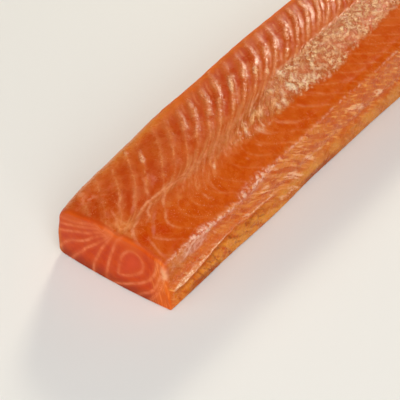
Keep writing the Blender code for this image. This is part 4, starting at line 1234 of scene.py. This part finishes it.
# bump: fine grain everywhere, coarser where the surface is rough
fine = T.noise(pos, 2.4, 3.0, 0.6)
coarse = T.noise(pos, 0.8, 3.0, 0.6)
rough_zone = T.most(T.most(T.mul(A["wrinkle"], 0.7), T.mul(A["rope"], 0.7)), T.most(T.mul(A["foot"], 0.6), T.mul(A["glint_spots"], T.smooth(d_top_s, 2.0, 0.4))))
height = T.add(
    T.mul(fine, T.add(0.02, T.mul(rough_zone, 0.20))),
    T.mul(coarse, T.add(0.05, T.mul(rough_zone, 0.25))),
)
height = T.add(height, T.mul(side_fibre, T.mul(A["w_side"], 0.16)))
height = T.add(height, T.mul(A["wrinkle"], T.add(crest, T.mul(lit, 0.3)), 0.50))
height = T.add(height, T.mul(A["foot"], pits, -0.30))
height = T.add(height, T.mul(T.smooth(band_at, 2.4, 0.4), T.mul(band_on, 0.16)))
height = T.add(height, T.mul(T.mul(n_fine, T.smooth(band_at, 2.4, 0.8)), T.mul(band_on, 0.45)))
height = T.add(height, T.mul(A["rope"], rope_cells, 0.18))
bump = T.new("ShaderNodeBump")
bump.inputs["Strength"].default_value = 1.0
bump.inputs["Distance"].default_value = 0.001
T.put(bump.inputs["Height"], height)

shader = T.new("ShaderNodeBsdfPrincipled")
out = T.new("ShaderNodeOutputMaterial")
T.t.links.new(shader.outputs[0], out.inputs["Surface"])
T.put(shader.inputs["Base Color"], body)
T.put(shader.inputs["Normal"], bump.outputs[0])
roughness = T.add(0.22, T.mul(T.smooth(n_mid, 0.3, 0.7), 0.10))
roughness = T.add(roughness, T.mul(A["w_cap"], 0.16))
roughness = T.add(roughness, T.mul(T.smooth(A["u"], -19.0, -28.0), T.smooth(A["v"], 50.0, 80.0), 0.36))
roughness = T.sub(roughness, T.mul(T.most(A["wrinkle"], T.mul(w_left, v_far, T.smooth(reach, 3.0, 0.5))), 0.07))
T.put(shader.inputs["Roughness"], roughness)
shader.inputs["Specular IOR Level"].default_value = 0.22
shader.inputs["IOR"].default_value = 1.35
shader.inputs["Subsurface Weight"].default_value = 0.20
shader.inputs["Subsurface Radius"].default_value = (1.0, 0.32, 0.10)
shader.inputs["Subsurface Scale"].default_value = 0.0018
mesh.materials.append(material)

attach(loin, "root")
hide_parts("salmon_loin")

# --- floor, light, camera ------------------------------------------------------------------------
floor_mesh = bpy.data.meshes.new("floor")
S = 3.0
floor_mesh.from_pydata([(-S, -S, 0), (S, -S, 0), (S, S, 0), (-S, S, 0)], [], [(0, 1, 2, 3)])
floor = bpy.data.objects.new("floor", floor_mesh)
floor.location.z = -0.0002
bpy.context.scene.collection.objects.link(floor)
floor_mat = bpy.data.materials.new("floor")
floor_mat.use_nodes = True
fs = floor_mat.node_tree.nodes["Principled BSDF"]
fs.inputs["Base Color"].default_value = (0.80, 0.79, 0.77, 1.0)
fs.inputs["Roughness"].default_value = 0.7
fs.inputs["Specular IOR Level"].default_value = 0.2
floor_mesh.materials.append(floor_mat)

world = bpy.data.worlds.new("studio")
bpy.context.scene.world = world
world.use_nodes = True
world.node_tree.nodes["Background"].inputs["Color"].default_value = (1.0, 0.985, 0.96, 1.0)
world.node_tree.nodes["Background"].inputs["Strength"].default_value = 0.15


def softbox(name, direction, distance, size, watts, colour=(1, 1, 1)):
    light = bpy.data.lights.new(name, "AREA")
    light.shape = "RECTANGLE"
    light.size, light.size_y = size
    light.energy = watts
    light.color = colour
    obj = bpy.data.objects.new(name, light)
    d = Vector(direction).normalized()
    obj.location = d * distance
    obj.rotation_euler = (-d).to_track_quat("-Z", "Y").to_euler()
    bpy.context.scene.collection.objects.link(obj)
    return obj


softbox("back_window", (-0.46, 0.79, 0.46), 1.3, (0.27, 0.19), 9.8, (1.0, 0.91, 0.71))
softbox("overhead", (0.30, -0.35, 0.90), 1.5, (1.5, 1.5), 14.0)
softbox("front_right", (0.85, -0.60, 0.45), 1.5, (1.0, 0.8), 9.5, (1.0, 0.985, 0.93))
softbox("front_left", (-0.45, -0.95, 0.45), 1.5, (1.0, 0.8), 3.5, (1.0, 0.985, 0.93))

camera_data = bpy.data.cameras.new("camera")
camera = bpy.data.objects.new("camera", camera_data)
bpy.context.scene.collection.objects.link(camera)
camera_data.lens, camera_data.sensor_width = 90.0, 36.0
camera_data.clip_start, camera_data.clip_end = 0.01, 20.0
azimuth, elevation, distance = math.radians(40.0), math.radians(46.0), 0.460
aim = Vector((0.0051, -0.0586, 0.0))
back = Vector(
    (math.sin(azimuth) * math.cos(elevation), -math.cos(azimuth) * math.cos(elevation), math.sin(elevation))
)
camera.location = aim + back * distance
camera.rotation_euler = back.to_track_quat("Z", "Y").to_euler()
bpy.context.scene.camera = camera
bpy.context.scene.view_settings.view_transform = "Standard"
bpy.context.scene.view_settings.look = "None"
